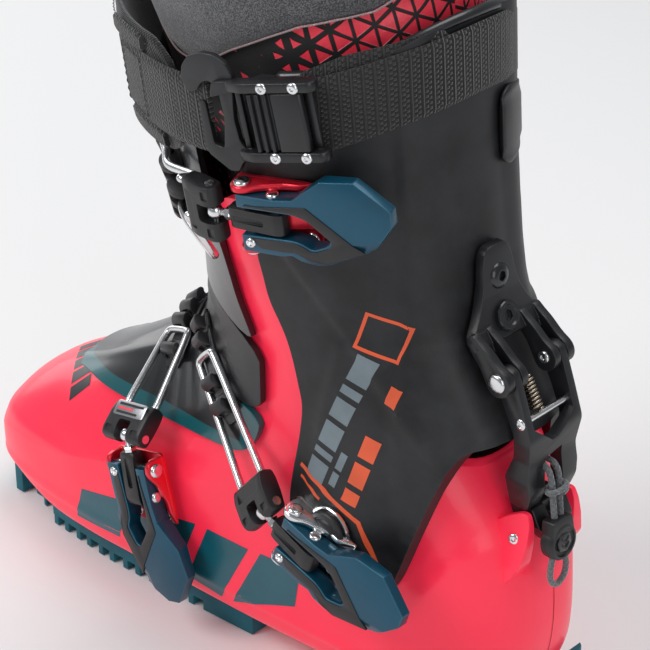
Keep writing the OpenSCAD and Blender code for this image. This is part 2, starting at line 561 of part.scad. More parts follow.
// bracket bolts: place of the head's seat and the turn that points it outwards
BOLTS = [[[120.8, 0, 206], [0, 78, 0]], [[126.6, 0, 189], [0, 66, 0]]];
module bracket_bolts() color(black) for (b = BOLTS) at(b) difference() {
  union() {
    translate([0, 0, 1]) cylinder(r = 5.2, h = 2.4);
    translate([0, 0, -2]) cylinder(r = 2.5, h = 4);
  }
  translate([0, 0, 1.8]) cylinder(r = 2.3, h = 4, $fn = 6);
}
module walk_pin() color(steel) translate([walk_x, 0, walk_z]) rotate([90, 0, 0]) {
  cylinder(r = walk_pin_r, h = 2 * ear_out, center = true);
  for (s = [-1, 1]) translate([0, 0, s * (ear_out + 0.6)]) cylinder(r = 4, h = 1.2, center = true);
}
lever_foot_z = 117;
module walk_lever() color(black) difference() {
  union() {
    intersection() {
      side_view([[134.6, 173.5], [138, 168], [142, 160], [147.5, 149.5], [146.5, 140],
        [144.5, lever_foot_z], [152.5, lever_foot_z],
        [154.5, 135], [154, 150], [149.5, 163], [146, 173.5], [140, 176]], -arm_out, arm_out);
      front_view([[-arm_out, 190], [-arm_out, 128], [-13, lever_foot_z - 1],
        [13, lever_foot_z - 1], [arm_out, 128], [arm_out, 190]]);
    }
    translate([walk_x, 0, walk_z]) rotate([90, 0, 0]) cylinder(r = 5.6, h = 2 * arm_out, center = true);
  }
  front_view([[-arm_in, 200], [-arm_in, 152], [0, 145], [arm_in, 152], [arm_in, 200]]);
  front_view([[-5, 137], [5, 137], [6, 130], [6, 110], [-6, 110], [-6, 130]]);
  side_view([[120, 190], [149.5, 190], [149.5, 100], [120, 100]], -arm_in, arm_in);
  translate([walk_x, 0, walk_z]) rotate([90, 0, 0]) cylinder(r = walk_pin_r + run_clear, h = 60, center = true);
  translate([ROD[0], 0, ROD[1]]) rotate([90, 0, 0]) cylinder(r = 1.4, h = 60, center = true);
}
ROD = [149, 157];
module lever_rod() color(steel) translate([ROD[0], 0, ROD[1]]) rotate([90, 0, 0])
  cylinder(r = 1.4, h = 2 * arm_out, center = true);
module lever_spring() color(steel) translate([143.6, -3, 169.3]) rotate([0, 151, 0]) difference() {
  cylinder(r = 3.6, h = 10.6);
  translate([0, 0, -1]) cylinder(r = 2.4, h = 13);
}
module catch_block() color(black) side_view([[140.5, 116.7], [153, 116.7], [157.5, 108], [154.5, 99], [149.6, 98],
  [147.6, 103.4], [143.4, 110]], -10, 10);

// ================================ pull cord ================================
// the cord leaves the lever's window, runs down through the lock, turns round and comes back
CORD = [[151, -4.6, 135.2], [154, -4.9, 135], [156.6, -5.2, 132.4], [158.2, -5.6, 127.5],
  [159.6, -6.2, 121.5], [161.2, -7, 115.5],
  [162.4, -7.6, 109], [163, -8.2, 103], [163.4, -9.8, 97], [163.8, -11, 92], [164, -10.2, 87.4], [164, -6.4, 84.6],
  [164, -2.2, 87], [163.8, -1, 92], [163.4, -2, 97], [163, -3.4, 103], [162.4, -3.6, 109], [161.2, -3, 115.5],
  [159.6, -2, 121.5], [158.2, -1, 127.5], [156.6, -0.4, 132.4], [154, -0.2, 135], [151, 0, 135.2]];
module pull_cord() color(grey) tube(CORD, cord_d / 2);
LOCK = [[162.8, -5.7, 105], [0, 84, 0]];
module cord_lock() color(black) at(LOCK) difference() {
  union() {
    cylinder(r = 8, h = 7, center = true);
    translate([-9.5, -6, -3]) cube([8, 12, 6]);
  }
  translate([0, 0, 2.6]) difference() {
    cylinder(r = 6, h = 3);
    cylinder(r = 3, h = 8, center = true);
  }
}

lower_shell();
sole_toe();
sole_heel();
sole_screws();
toe_insert();
heel_insert();
boot_board();
liner_foot();
liner_shaft();
tongue_lower();
tongue_bellows();
tongue_upper();
toe_ladder();
ankle_ladder();
top_ladder();
cuff();
cuff_pivots();
pivot_bushings();
toe_base();
toe_lever();
toe_lever_inlay();
toe_pins();
toe_arm();
toe_eyebolt();
toe_block();
toe_bail();
instep_base();
instep_lever();
instep_lever_inlay();
instep_pins();
instep_arm();
instep_eyebolt();
instep_block();
instep_bail();
top_base();
top_lever();
top_lever_inlay();
top_pins();
top_arm();
top_eyebolt();
top_block();
top_bail();
power_strap();
strap_pad();
strap_hook();
cam_frame();
cam_lever();
strap_screws();
base_rivets();
top_rivets();
walk_bracket();
bracket_bolts();
walk_pin();
walk_lever();
lever_rod();
lever_spring();
catch_block();
rear_spoiler();
pull_cord();
cord_lock();
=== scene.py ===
import bpy, bmesh, json, math
import numpy as np
from mathutils import Vector, Matrix, Euler


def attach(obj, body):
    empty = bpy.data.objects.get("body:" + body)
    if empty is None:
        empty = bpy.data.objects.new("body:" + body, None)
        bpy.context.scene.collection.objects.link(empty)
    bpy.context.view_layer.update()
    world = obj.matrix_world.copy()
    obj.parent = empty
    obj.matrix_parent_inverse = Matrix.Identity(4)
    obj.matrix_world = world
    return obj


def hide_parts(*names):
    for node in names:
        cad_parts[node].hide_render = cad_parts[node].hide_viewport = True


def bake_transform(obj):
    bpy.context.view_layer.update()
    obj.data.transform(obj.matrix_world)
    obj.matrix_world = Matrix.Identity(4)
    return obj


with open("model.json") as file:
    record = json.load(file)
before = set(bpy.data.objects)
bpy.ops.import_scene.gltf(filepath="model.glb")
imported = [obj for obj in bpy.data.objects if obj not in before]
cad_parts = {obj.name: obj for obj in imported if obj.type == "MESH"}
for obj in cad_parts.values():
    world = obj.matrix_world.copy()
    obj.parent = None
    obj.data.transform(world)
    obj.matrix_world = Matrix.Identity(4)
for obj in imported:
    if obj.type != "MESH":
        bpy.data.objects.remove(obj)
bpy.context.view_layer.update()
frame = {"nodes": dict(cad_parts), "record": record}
MM = 0.001
BODY = {n: b for b, ns in frame["record"]["behaviour"]["bodies"].items() for n in ns}

# ------------------------------------------------------------------ camera and light
AZ, EL, DIST = math.radians(43.83), math.radians(29.49), 0.9559
TARGET = Vector((0.0295, 0.0, 0.1479))
LIGHTS_AIM = Vector((0.03, 0, 0.16))
scene = bpy.context.scene
scene.view_settings.view_transform = "Standard"
cam_data = bpy.data.cameras.new("camera")
cam = bpy.data.objects.new("camera", cam_data)
scene.collection.objects.link(cam)
cam.location = TARGET + DIST * Vector((math.sin(AZ) * math.cos(EL), -math.cos(AZ) * math.cos(EL), math.sin(EL)))
cam.rotation_euler = (TARGET - cam.location).to_track_quat("-Z", "Y").to_euler()
cam_data.sensor_width = 36
cam_data.lens = 125.1
cam_data.clip_start = 0.02
scene.camera = cam


def area_light(name, loc, size, power):
    data = bpy.data.lights.new(name, "AREA")
    data.shape, data.size, data.size_y, data.energy = "RECTANGLE", *size, power
    o = bpy.data.objects.new(name, data)
    scene.collection.objects.link(o)
    o.location = loc
    o.rotation_euler = (LIGHTS_AIM - Vector(loc)).to_track_quat("-Z", "Y").to_euler()


area_light("key", (-0.7, -1.3, 1.5), (1.1, 0.9), 22)
area_light("fill", (1.7, -0.7, 0.9), (0.9, 1.2), 8)
area_light("top", (0.2, 0.5, 1.9), (1.2, 1.2), 16)
area_light("front", (-1.6, 0.4, 0.7), (0.8, 1.2), 7)
world = bpy.data.worlds.new("studio")
scene.world = world
world.use_nodes = True
world.node_tree.nodes["Background"].inputs[0].default_value = (0.93, 0.95, 1.0, 1)
world.node_tree.nodes["Background"].inputs[1].default_value = 0.28


# ------------------------------------------------------------------ material kit
class Val:
    """a shader value that takes part in plain arithmetic"""
    def __init__(self, mat, socket):
        self.mat, self.socket = mat, socket

    def __add__(self, b):
        return self.mat.math("ADD", self, b)

    def __sub__(self, b):
        return self.mat.math("SUBTRACT", self, b)

    def __rsub__(self, a):
        return self.mat.math("SUBTRACT", a, self)

    def __mul__(self, b):
        return self.mat.math("MULTIPLY", self, b)

    def __truediv__(self, b):
        return self.mat.math("DIVIDE", self, b)

    def __abs__(self):
        return self.mat.math("ABSOLUTE", self)

    __radd__, __rmul__ = __add__, __mul__


class Mat:
    def __init__(self, name, rough=0.5, metal=0.0, coat=0.0, sheen=0.0, spec=0.5):
        self.m = bpy.data.materials.new(name)
        self.m.use_nodes = True
        self.nt = self.m.node_tree
        self.bsdf = self.nt.nodes["Principled BSDF"]
        for key, value in (("Roughness", rough), ("Metallic", metal), ("Coat Weight", coat), ("Coat Roughness", 0.1),
                           ("Sheen Weight", sheen), ("Specular IOR Level", spec)):
            self.set(self.bsdf, key, value)

    def set(self, node, key, value):
        s = node.inputs[key]
        if isinstance(value, Val):
            self.nt.links.new(value.socket, s)
        elif isinstance(value, tuple) and len(value) == 3 and s.type == "RGBA":
            s.default_value = (*value, 1)
        else:
            s.default_value = value

    def node(self, kind, inputs=None, **attrs):
        n = self.nt.nodes.new("ShaderNode" + kind)
        for k, v in attrs.items():
            setattr(n, k, v)
        for k, v in (inputs or {}).items():
            self.set(n, k, v)
        return n

    def make(self, out, kind, inputs=None, **attrs):
        """output of a new node as a value"""
        return Val(self, self.node(kind, inputs, **attrs).outputs[out])

    def math(self, op, a, b=0.0):
        return self.make(0, "Math", {0: a, 1: b}, operation=op)

    def sin(self, x):
        return self.math("SINE", x)

    def frac(self, x):
        return self.math("FRACT", x)

    def step(self, x, low, high):
        return self.make(0, "MapRange", {"Value": x, "From Min": low, "From Max": high},
                         interpolation_type="SMOOTHSTEP", clamp=True)

    def mix(self, fac, a, b):
        return self.make(2, "Mix", {0: fac, 6: a, 7: b}, data_type="RGBA")

    def blend(self, fac, a, b):
        return self.make(0, "Mix", {0: fac, 2: a, 3: b}, data_type="FLOAT")

    def place(self):
        return self.make("Object", "TexCoord")

    def xyz(self, vec=None):
        n = self.node("SeparateXYZ", {"Vector": vec or self.place()})
        return [Val(self, s) for s in n.outputs]

    def uv(self):
        return self.xyz(self.make(0, "UVMap"))[:2]

    def noise(self, scale, detail=2.0, rough=0.5, stretch=None):
        v = self.place()
        if stretch:
            v = self.make(0, "Mapping", {"Scale": stretch, "Vector": v})
        return self.make(0, "TexNoise", {"Scale": scale, "Detail": detail, "Roughness": rough, "Vector": v})

    def colour(self, c):
        self.set(self.bsdf, "Base Color", c)

    def rough(self, r):
        self.set(self.bsdf, "Roughness", r)

    def rounded_normal(self, edge):
        """normal that turns smoothly over mesh edges, within edge metres"""
        n = self.node("Bevel", {"Radius": edge})
        n.samples = 4
        return Val(self, n.outputs[0])

    def relief(self, height, dist, edge=0.0):
        """height in 0..1 over dist metres, with rounded mesh edges of radius edge"""
        inputs = {"Strength": 1.0, "Distance": dist, "Height": height}
        if edge:
            inputs["Normal"] = self.rounded_normal(edge)
        self.set(self.bsdf, "Normal", self.make(0, "Bump", inputs))

    def edge_wear(self, edge):
        """1 along worn edges"""
        flat = self.make("Normal", "NewGeometry")
        turn = self.make("Value", "VectorMath", {0: self.rounded_normal(edge), 1: flat}, operation="DOT_PRODUCT")
        return self.step(1.0 - turn, 0.01, 0.12)


def moulded(name, c, rough=0.45, grain=2200, depth=0.00006, spread=0.12, edge=0.0005, coat=0.0, wear=None,
            mottled=0.12, spec=0.5):
    """moulded plastic: fine grain, cloudy tone, scuffs, softened edges"""
    m = Mat(name, rough, coat=coat, spec=spec)
    cloud = m.noise(38, 4, 0.6)
    dark = tuple(x * (1 - mottled) for x in c)
    light = tuple(min(1, x * (1 + mottled) + 0.002) for x in c)
    m.tone = m.mix(m.step(cloud, 0.3, 0.7), dark, light)
    scuff = m.step(m.noise(420, 3, 0.7, stretch=(1, 1, 0.15)), 0.62, 0.78)
    if wear:
        m.tone = m.mix(m.edge_wear(edge * 1.4) * 0.35, m.tone, wear)
    m.colour(m.tone)
    m.rough(cloud * spread + (rough - spread / 2) + scuff * 0.06)
    m.relief(m.noise(grain, 2) + cloud * 0.6, depth, edge)
    return m


def metal(name, c, rough=0.2, brushed=False, edge=0.0003, scratch=0.3, metallic=1.0, coat=0.0, wear=None):
    """polished or brushed metal with fine scratches; edge 0 leaves the shape's own edges and no relief"""
    m = Mat(name, rough, metal=metallic, coat=coat)
    grain = m.noise(900, 3, 0.6, stretch=(1, 1, 0.08) if brushed else None)
    lines = m.step(m.noise(260, 4, 0.75, stretch=(1, 0.06, 1)), 0.66, 0.74)
    tone = m.mix(m.step(m.noise(60, 3), 0.35, 0.65), tuple(x * 0.9 for x in c), c)
    if wear:
        tone = m.mix(m.edge_wear(edge * 2) * 0.5, tone, wear)
    m.colour(tone)
    m.rough(grain * 0.12 + (lines * (scratch * 0.3) + (rough - 0.06)))
    if edge:
        m.relief(grain + lines * -0.6, 0.000016 if brushed else 0.000006, edge)
    return m


# ------------------------------------------------------------------ boot surfaces (mm)
# each row of FOOT is one section across the boot: its top and bottom points (x, z), half width, the
# roundness of its upper and lower half, and how much it narrows towards the top
FOOT = np.array([
    [-154, 46, -154, 27, 24, 2.2, 3.0, .10], [-151, 58, -151, 24, 36, 2.2, 3.6, .12],
    [-142, 68, -142, 22, 44, 2.2, 5.0, .15], [-125, 78, -125, 20, 49.5, 2.1, 7.0, .18],
    [-101, 89, -101, 14, 52.5, 2.0, 8.0, .24], [-75, 105, -73, 13, 53.5, 1.9, 8.0, .32],
    [-54, 119, -43, 13, 52.5, 1.8, 8.0, .40], [-39, 131, -10, 13, 51, 1.75, 8.0, .44],
    [-31, 143, 28, 13, 49.5, 1.75, 8.0, .40], [-27, 156, 70, 13, 47.5, 1.85, 7.0, .26],
    [-25, 168, 112, 14, 46.5, 1.95, 5.5, .12], [-25, 180, 140, 17, 46, 2.0, 4.0, .04],
    [-26, 190, 152, 32, 45.5, 2.0, 3.0, 0], [-27, 200, 156, 54, 45.5, 2.05, 2.5, 0],
    [-29, 209, 155, 80, 45.5, 2.1, 2.4, 0], [-31, 218, 146, 103, 46, 2.1, 2.3, 0],
    [-33, 227, 135, 121, 46.5, 2.1, 2.3, 0], [-36, 237, 122, 139, 47, 2.1, 2.3, 0],
    [-39, 251, 112, 160, 47.5, 2.1, 2.3, 0], [-43, 271, 106, 198, 48.5, 2.1, 2.3, 0]])
# height, middle x, half length and half width of level sections
LEG = np.array([[60, 78, 86, 52], [97, 72, 84, 53], [125, 67, 83, 53], [150, 61, 85, 53], [170, 53, 80, 53.5],
                [188, 47, 75, 55], [207, 43, 74.5, 57], [235, 35, 78, 61], [260, 30, 80, 64], [305, 25, 82, 65],
                [335, 22, 82, 65]])
LINER = np.array([[129, 50, 74, 35.5], [150, 50, 74, 36.5], [170, 50, 70, 37.5], [207, 43, 66, 38],
                  [235, 37, 67, 41.5], [260, 32, 70, 52], [300, 23, 76, 58.5], [345, 13, 76, 57]])
LAST = len(FOOT) - 1


def rows(table, u):
    """smooth rows of a table at places u, with the corners between straight stretches eased"""
    u = np.asarray(u, float)
    n = len(table)
    out = 0
    for d, w in ((-0.35, 0.2), (-0.15, 0.3), (0.15, 0.3), (0.35, 0.2)):
        v = u + d
        i = np.clip(np.floor(v).astype(int), 0, n - 2)
        f = (v - i)[..., None]
        out = out + w * (table[i] * (1 - f) + table[i + 1] * f)
    return out


def spow(v, e):
    return np.sign(v) * np.abs(v) ** e


def broadcast(*values):
    return np.broadcast_arrays(*[np.asarray(v, float) for v in values])


def foot(u, t, off=0.0):
    """point on section u at angle t in degrees (90 is the top), off mm outside the boot's skin"""
    u, t, off = broadcast(u, t, off)
    r = rows(FOOT, u)
    t = np.radians(t)
    a, b = r[..., 0:2], r[..., 2:4]
    c, h0 = (a + b) / 2, np.linalg.norm(a - b, axis=-1) / 2
    d = (a - b) / (2 * h0[..., None])
    h, w = h0 + off, r[..., 4] + off
    e = np.where(np.sin(t) >= 0, r[..., 5], r[..., 6])
    s = spow(np.sin(t), 2 / e)
    y = spow(np.cos(t), 2 / e) * w * (1 - r[..., 7] * np.maximum(s, 0))
    p = c + d * (h * s)[..., None]
    return np.stack([p[..., 0], y, p[..., 1]], -1)


def leg(z, t, off=0.0, table=LEG):
    """point at height z and angle t in degrees (0 is the back, 180 the front), off mm outside"""
    z, t, off = broadcast(z, t, off)
    r = rows(table[:, 1:], np.interp(z, table[:, 0], np.arange(len(table))))
    t = np.radians(t)
    return np.stack([r[..., 0] + (r[..., 1] + off) * np.cos(t), (r[..., 2] + off) * np.sin(t), z], -1)


# ------------------------------------------------------------------ mesh kit
X, Y, Z = (1, 0, 0), (0, 1, 0), (0, 0, 1)
XZ = [X, Z, Y]  # outline seen from the side
YZ = [Y, Z, X]  # outline seen from behind


def smooth(o, angle=35):
    for p in o.data.polygons:
        p.use_smooth = True
    if angle < 180:
        o.data.set_sharp_from_angle(angle=math.radians(angle))
    return o


def new_object(name, mesh):
    o = bpy.data.objects.new(name, mesh)
    scene.collection.objects.link(o)
    return o


def edit(o, change):
    """runs change on the object's mesh as a bmesh"""
    bm = bmesh.new()
    bm.from_mesh(o.data)
    change(bm)
    bm.to_mesh(o.data)
    bm.free()


def piece(name, verts, faces, mat, angle=35):
    """mesh object from points in mm"""
    me = bpy.data.meshes.new(name)
    me.from_pydata([tuple(float(c) * MM for c in v) for v in verts], [], [tuple(int(i) for i in f) for f in faces])
    me.validate()
    o = new_object(name, me)
    if mat:
        me.materials.append(mat.m)
    edit(o, lambda bm: bmesh.ops.recalc_face_normals(bm, faces=bm.faces))
    return smooth(o, angle)


def grid_faces(n, m, loop=True):
    """faces of n rings of m points"""
    return [(i * m + j, i * m + (j + 1) % m, (i + 1) * m + (j + 1) % m, (i + 1) * m + j)
            for i in range(n - 1) for j in range(m if loop else m - 1)]


def loft(name, rings, mat=None, angle=35):
    """closed solid through rings of points"""
    rings = np.asarray(rings, float)
    n, m = rings.shape[:2]
    ends = [tuple(range(m)), tuple(range((n - 1) * m, n * m))]
    return piece(name, rings.reshape(-1, 3), grid_faces(n, m) + ends, mat, angle)


def patch(name, P, mat):
    """open sheet through a grid of points"""
    P = np.asarray(P, float)
    return piece(name, P.reshape(-1, 3), grid_faces(*P.shape[:2], False), mat, 60)


def set_uv(o, coords):
    """UV of each vertex, given in mm"""
    layer = o.data.uv_layers.new(name="UVMap")
    U = np.array(coords).reshape(-1, 2) * MM
    for corner in o.data.loops:
        layer.data[corner.index].uv = U[corner.vertex_index]


def prism(name, outline, z0, z1, mat=None, axes=None):
    """extruded outline; axes are the directions of x, y and z"""
    A = np.array(axes if axes is not None else np.eye(3), float)
    pts = [p[0] * A[0] + p[1] * A[1] + z * A[2] for z in (z0, z1) for p in outline]
    n = len(outline)
    faces = [tuple(range(n))[::-1], tuple(range(n, 2 * n))]
    return piece(name, pts, faces + [(i, (i + 1) % n, n + (i + 1) % n, n + i) for i in range(n)], mat)


def chaikin(pts, times=2):
    """closed outline with its corners cut again and again"""
    pts = [np.array(p, float) for p in pts]
    for _ in range(times):
        out = []
        for i, a in enumerate(pts):
            b = pts[(i + 1) % len(pts)]
            out += [a * 0.75 + b * 0.25, a * 0.25 + b * 0.75]
        pts = out
    return [tuple(p) for p in pts]


def rounded(outline, r, n=4):
    """outline with its corners rounded to about radius r"""
    out = []
    P = [np.array(p, float) for p in outline]
    for i in range(len(P)):
        a, b, c = P[i - 1], P[i], P[(i + 1) % len(P)]
        la, lc = np.linalg.norm(a - b), np.linalg.norm(c - b)
        k = min(r, la * 0.45, lc * 0.45)
        p, q = b + (a - b) / la * k, b + (c - b) / lc * k
        for j in range(n + 1):
            f = j / n
            out.append(tuple((1 - f) ** 2 * p + 2 * f * (1 - f) * b + f * f * q))
    return out


def rect(x0, y0, x1, y1):
    return [(x0, y0), (x1, y0), (x1, y1), (x0, y1)]


def hexagon(r, turn=0):
    return [(r * math.cos(math.radians(60 * k + turn)), r * math.sin(math.radians(60 * k + turn))) for k in range(6)]


def apply(o):
    dg = bpy.context.evaluated_depsgraph_get()
    dg.update()
    me = bpy.data.meshes.new_from_object(o.evaluated_get(dg))
    o.modifiers.clear()
    old = o.data
    o.data = me
    bpy.data.meshes.remove(old)
    return o


def cut(o, tool, op="DIFFERENCE"):
    m = o.modifiers.new("cut", "BOOLEAN")
    m.operation, m.object, m.solver = op, tool, "MANIFOLD"
    bpy.context.view_layer.update()
    apply(o)
    bpy.data.objects.remove(tool)
    return o


def bevel(o, width, segments=2, angle=30):
    m = o.modifiers.new("bevel", "BEVEL")
    m.width, m.segments, m.limit_method, m.angle_limit = width * MM, segments, "ANGLE", math.radians(angle)
    m.harden_normals = False
    bpy.context.view_layer.update()
    return smooth(apply(o), 40)


def merge(name, objs):
    """several closed solids as one piece"""
    bm = bmesh.new()
    mats = []
    for o in objs:
        me = o.data.copy()
        me.transform(o.matrix_world)
        for s in o.data.materials:
            if s not in mats:
                mats.append(s)
        slots = [mats.index(s) for s in o.data.materials] or [0]
        for p in me.polygons:
            p.material_index = slots[min(p.material_index, len(slots) - 1)]
        bm.from_mesh(me)
        bpy.data.meshes.remove(me)
    me = bpy.data.meshes.new(name)
    bm.to_mesh(me)
    bm.free()
    for s in mats:
        me.materials.append(s)
    for o in objs:
        bpy.data.objects.remove(o)
    return new_object(name, me)


def frame_at(origin, z):
    """matrix with its z along a direction, origin in mm"""
    z = Vector(z).normalized()
    x = Vector(Z) if abs(z.z) < 0.9 else Vector(X)
    y = z.cross(x).normalized()
    m = Matrix((y.cross(z).normalized(), y, z)).transposed().to_4x4()
    m.translation = Vector(origin) * MM
    return m


def put(o, m):
    o.data.transform(m)
    return o


def lathe(name, profile, mat, segs=40, place=None, angle=35):
    """turned solid: profile is (radius, height) from the axis to the axis"""
    turns = np.linspace(0, 2 * math.pi, segs, endpoint=False)
    o = loft(name, [[(r * math.cos(a), r * math.sin(a), h) for a in turns] for r, h in profile], mat, angle)
    return put(o, place) if place is not None else o


def rod(r, a, b, at, axis=Y, mat=None, segs=24):
    """plain round bar of radius r from a to b along an axis through at"""
    return lathe("t", [(0.01, a), (r, a), (r, b), (0.01, b)], mat, segs, frame_at(at, axis))


def bore(o, r, x, z, segs=24):
    """hole right across the boot"""
    return cut(o, rod(r, -40, 40, (x, 0, z), Y, None, segs))


def pocket(o, box, r, z0, z1, n=3):
    """hole with a rounded rectangle as its outline"""
    return cut(o, prism("t", rounded(rect(*box), r, n), z0, z1))


def hex_socket(o, r, z0, z1, at):
    return cut(o, put(prism("t", hexagon(r), z0, z1), at))


def slab(outline, r, z0, z1, mat, width, n=3, name="t", segments=2):
    """flat plate with rounded corners and bevelled edges"""
    return bevel(prism(name, rounded(outline, r, n), z0, z1, mat), width, segments)


def side_plate(name, outline, y0, y1, mat, r=1.0, width=0.5):
    """plate with its outline in local x-z, thick along y"""
    return bevel(prism(name, rounded(outline, r, 4), y0, y1, mat, XZ), width, 2)


def spline(pts, n=8):
    """smooth points through pts"""
    P = [np.array(p, float) for p in pts]
    out = []
    for i in range(len(P) - 1):
        a, b, c, d = P[max(i - 1, 0)], P[i], P[i + 1], P[min(i + 2, len(P) - 1)]
        for k in range(n):
            f = k / n
            bend, twist = 2 * a - 5 * b + 4 * c - d, 3 * b - a - 3 * c + d
            out.append(0.5 * (2 * b + (c - a) * f + bend * f * f + twist * f ** 3))
    return out + [P[-1]]


def tube(name, path, r, mat, sides=14, uv=True):
    """round bar swept along points in mm; r may be a list"""
    P = [Vector(p) for p in path]
    n = len(P)
    R = [r] * n if isinstance(r, (int, float)) else list(r)
    turns = [2 * math.pi * k / sides for k in range(sides)]
    rings, up, run = [], None, [0]
    for i in range(n):
        d = (P[min(i + 1, n - 1)] - P[max(i - 1, 0)]).normalized()
        if up is None:
            up = Vector(Z) if abs(d.z) < 0.9 else Vector(X)
        up = (up - d * up.dot(d)).normalized()
        s = d.cross(up)
        rings.append([tuple(P[i] + R[i] * (up * math.cos(a) + s * math.sin(a))) for a in turns])
        if i:
            run.append(run[-1] + (P[i] - P[i - 1]).length)
    o = loft(name, rings, mat, 60)
    if uv:
        layer = o.data.uv_layers.new(name="UVMap")
        for poly in o.data.polygons:
            wraps = len(poly.vertices) == 4 and max(v % sides for v in poly.vertices) == sides - 1
            for corner, v in zip(poly.loop_indices, poly.vertices):
                i, j = divmod(v, sides)
                if wraps and j == 0:
                    j = sides
                layer.data[corner].uv = (run[i] * MM, j / sides * 2 * math.pi * R[i] * MM)
    return o


def done(o, body, slot, *nodes):
    """rides the piece on a body; slot is not used; nodes are the CAD parts that it stands for"""
    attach(o, body)
    if nodes:
        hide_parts(*nodes)
    return o


def on(o, slot, *nodes):
    """piece that stands for nodes and moves with them"""
    return done(o, BODY[nodes[0]], slot, *nodes)


# ------------------------------------------------------------------ materials
PINK = moulded("shell_pink", (1.0, 0.026, 0.07), 0.36, 1500, 0.00003, 0.08, 0.0006, 0.15, mottled=0.05, spec=0.4)
PINK.set(PINK.bsdf, "Emission Color", (1.0, 0.02, 0.07))  # painted glow: the shell gives off a faint pink light of its own, which brightens its shaded parts
PINK.set(PINK.bsdf, "Emission Strength", 0.14)
CUFF = moulded("cuff_black", (0.012, 0.0125, 0.014), 0.5, 1900, 0.00005, 0.2, 0.0006, 0,
               (0.06, 0.06, 0.065), 0.5, 0.42)
BLACK = moulded("nylon_black", (0.008, 0.008, 0.0095), 0.42, 2600, 0.00005, 0.14, 0.0004, 0,
                (0.05, 0.05, 0.055), 0.25)
SATIN = moulded("anodised_black", (0.011, 0.0115, 0.013), 0.34, 3000, 0.00004, 0.1, 0.0004, 0,
                (0.07, 0.07, 0.075), 0.2)
GLOSSY = moulded("tongue_black", (0.010, 0.011, 0.013), 0.3, 1200, 0.00002, 0.08, 0.0005, 0.3, mottled=0.2)
TEAL_RUBBER = moulded("sole_teal", (0.0, 0.115, 0.155), 0.62, 1500, 0.00012, 0.14, 0.0006, 0, (0.03, 0.2, 0.24), 0.2)
BOARD = moulded("board_grey", (0.16, 0.165, 0.17), 0.7, 900, 0.0002, 0.1, 0.0004, mottled=0.2)
PRINT_TEAL = moulded("print_teal", (0.0, 0.085, 0.115), 0.34, 1500, 0.00003, 0.08, 0, 0.2, mottled=0.08)
PRINT_GREY = moulded("print_grey", (0.155, 0.195, 0.22), 0.5, 1900, 0.00004, 0.1, 0)
PRINT_ORANGE = moulded("print_orange", (0.70, 0.095, 0.03), 0.5, 1900, 0.00004, 0.1, 0)
PRINT_DARK = moulded("print_dark", (0.02, 0.02, 0.024), 0.36, 1900, 0.00003, 0.1, 0, mottled=0.2)
PRINT_PINK = moulded("print_pink", (0.85, 0.06, 0.09), 0.55, 1900, 0.00006, 0.1, 0)
PRINT_PALE = moulded("print_pale", (0.30, 0.31, 0.35), 0.55, 1900, 0.00006, 0.1, 0)
PRINT_RED = moulded("line_red", (0.45, 0.008, 0.02), 0.5, 1500, 0.00003, 0.1, 0)
PETROL = metal("lever_petrol", (0.002, 0.07, 0.125), 0.38, False, 0.0005, 0.2, 0.5, 0.3, (0.08, 0.22, 0.30))
RED = metal("base_red", (0.80, 0.012, 0.035), 0.3, False, 0.0003, 0.2, 0.6, 0.3, (0.9, 0.2, 0.2))
CHROME = metal("chrome", (0.80, 0.81, 0.82), 0.2, False, 0, 0.06)
STEEL = metal("steel", (0.62, 0.63, 0.65), 0.28, True)
WIRE = metal("wire_steel", (0.74, 0.75, 0.76), 0.24, False, 0, 0.05)
SPRING = metal("spring_steel", (0.42, 0.36, 0.28), 0.25, False, 0.0002)
LABEL = metal("label_silver", (0.55, 0.56, 0.58), 0.3, True, 0.0002, 0.2)


def two_tone():
    """tongue: black, with teal along its lower edge and at its back end"""
    m = moulded("tongue_two_tone", (0.008, 0.009, 0.011), 0.3, 1200, 0.00002, 0.08, 0.0005, 0.3, mottled=0.2)
    x, _, z = m.xyz()
    teal = m.math("MAXIMUM", m.step(z - x * 0.155, 0.1062, 0.1058), m.step(x, 0.0255, 0.0261))
    m.colour(m.mix(teal, m.tone, (0.0, 0.085, 0.10)))
    return m


def felt():
    m = Mat("liner_felt", 0.92, sheen=0.5, spec=0.2)
    fleck = m.step(m.noise(1500, 3, 0.7), 0.42, 0.62)
    cloud = m.noise(120, 3)
    m.colour(m.mix(fleck, (0.035, 0.036, 0.04), m.mix(cloud, (0.11, 0.112, 0.12), (0.2, 0.2, 0.21))))
    m.relief(m.noise(2200, 3, 0.7) + cloud * 1.5, 0.0004)
    return m


def webbing():
    """flat woven strap: ribs across it, with rows of short picks between them"""
    m = Mat("webbing", 0.6, sheen=0.25, spec=0.35)
    u, v = m.uv()
    f = m.frac(u / 0.0044)
    height = m.step(abs(f - 0.13), 0.13, 0.02) * 0.85
    for centre, shift in ((0.42, 0.0), (0.74, math.pi)):
        band = m.step(abs(f - centre), 0.17, 0.07)
        pick = m.step(m.sin(v * (2 * math.pi / 0.0020) + shift), -0.35, 0.5)
        height = m.math("MAXIMUM", height, band * pick)
    height = height + m.sin((u / 0.0009 + v / 0.0005) * (2 * math.pi)) * 0.07
    n = m.noise(2600, 2)
    fibre = m.mix(n, (0.016, 0.016, 0.017), (0.04, 0.04, 0.043))
    m.colour(m.mix(m.step(height, 0.1, 1.0), (0.0035, 0.0035, 0.004), fibre))
    m.rough(n * 0.3 + 0.45)
    m.relief(height, 0.0008)
    return m


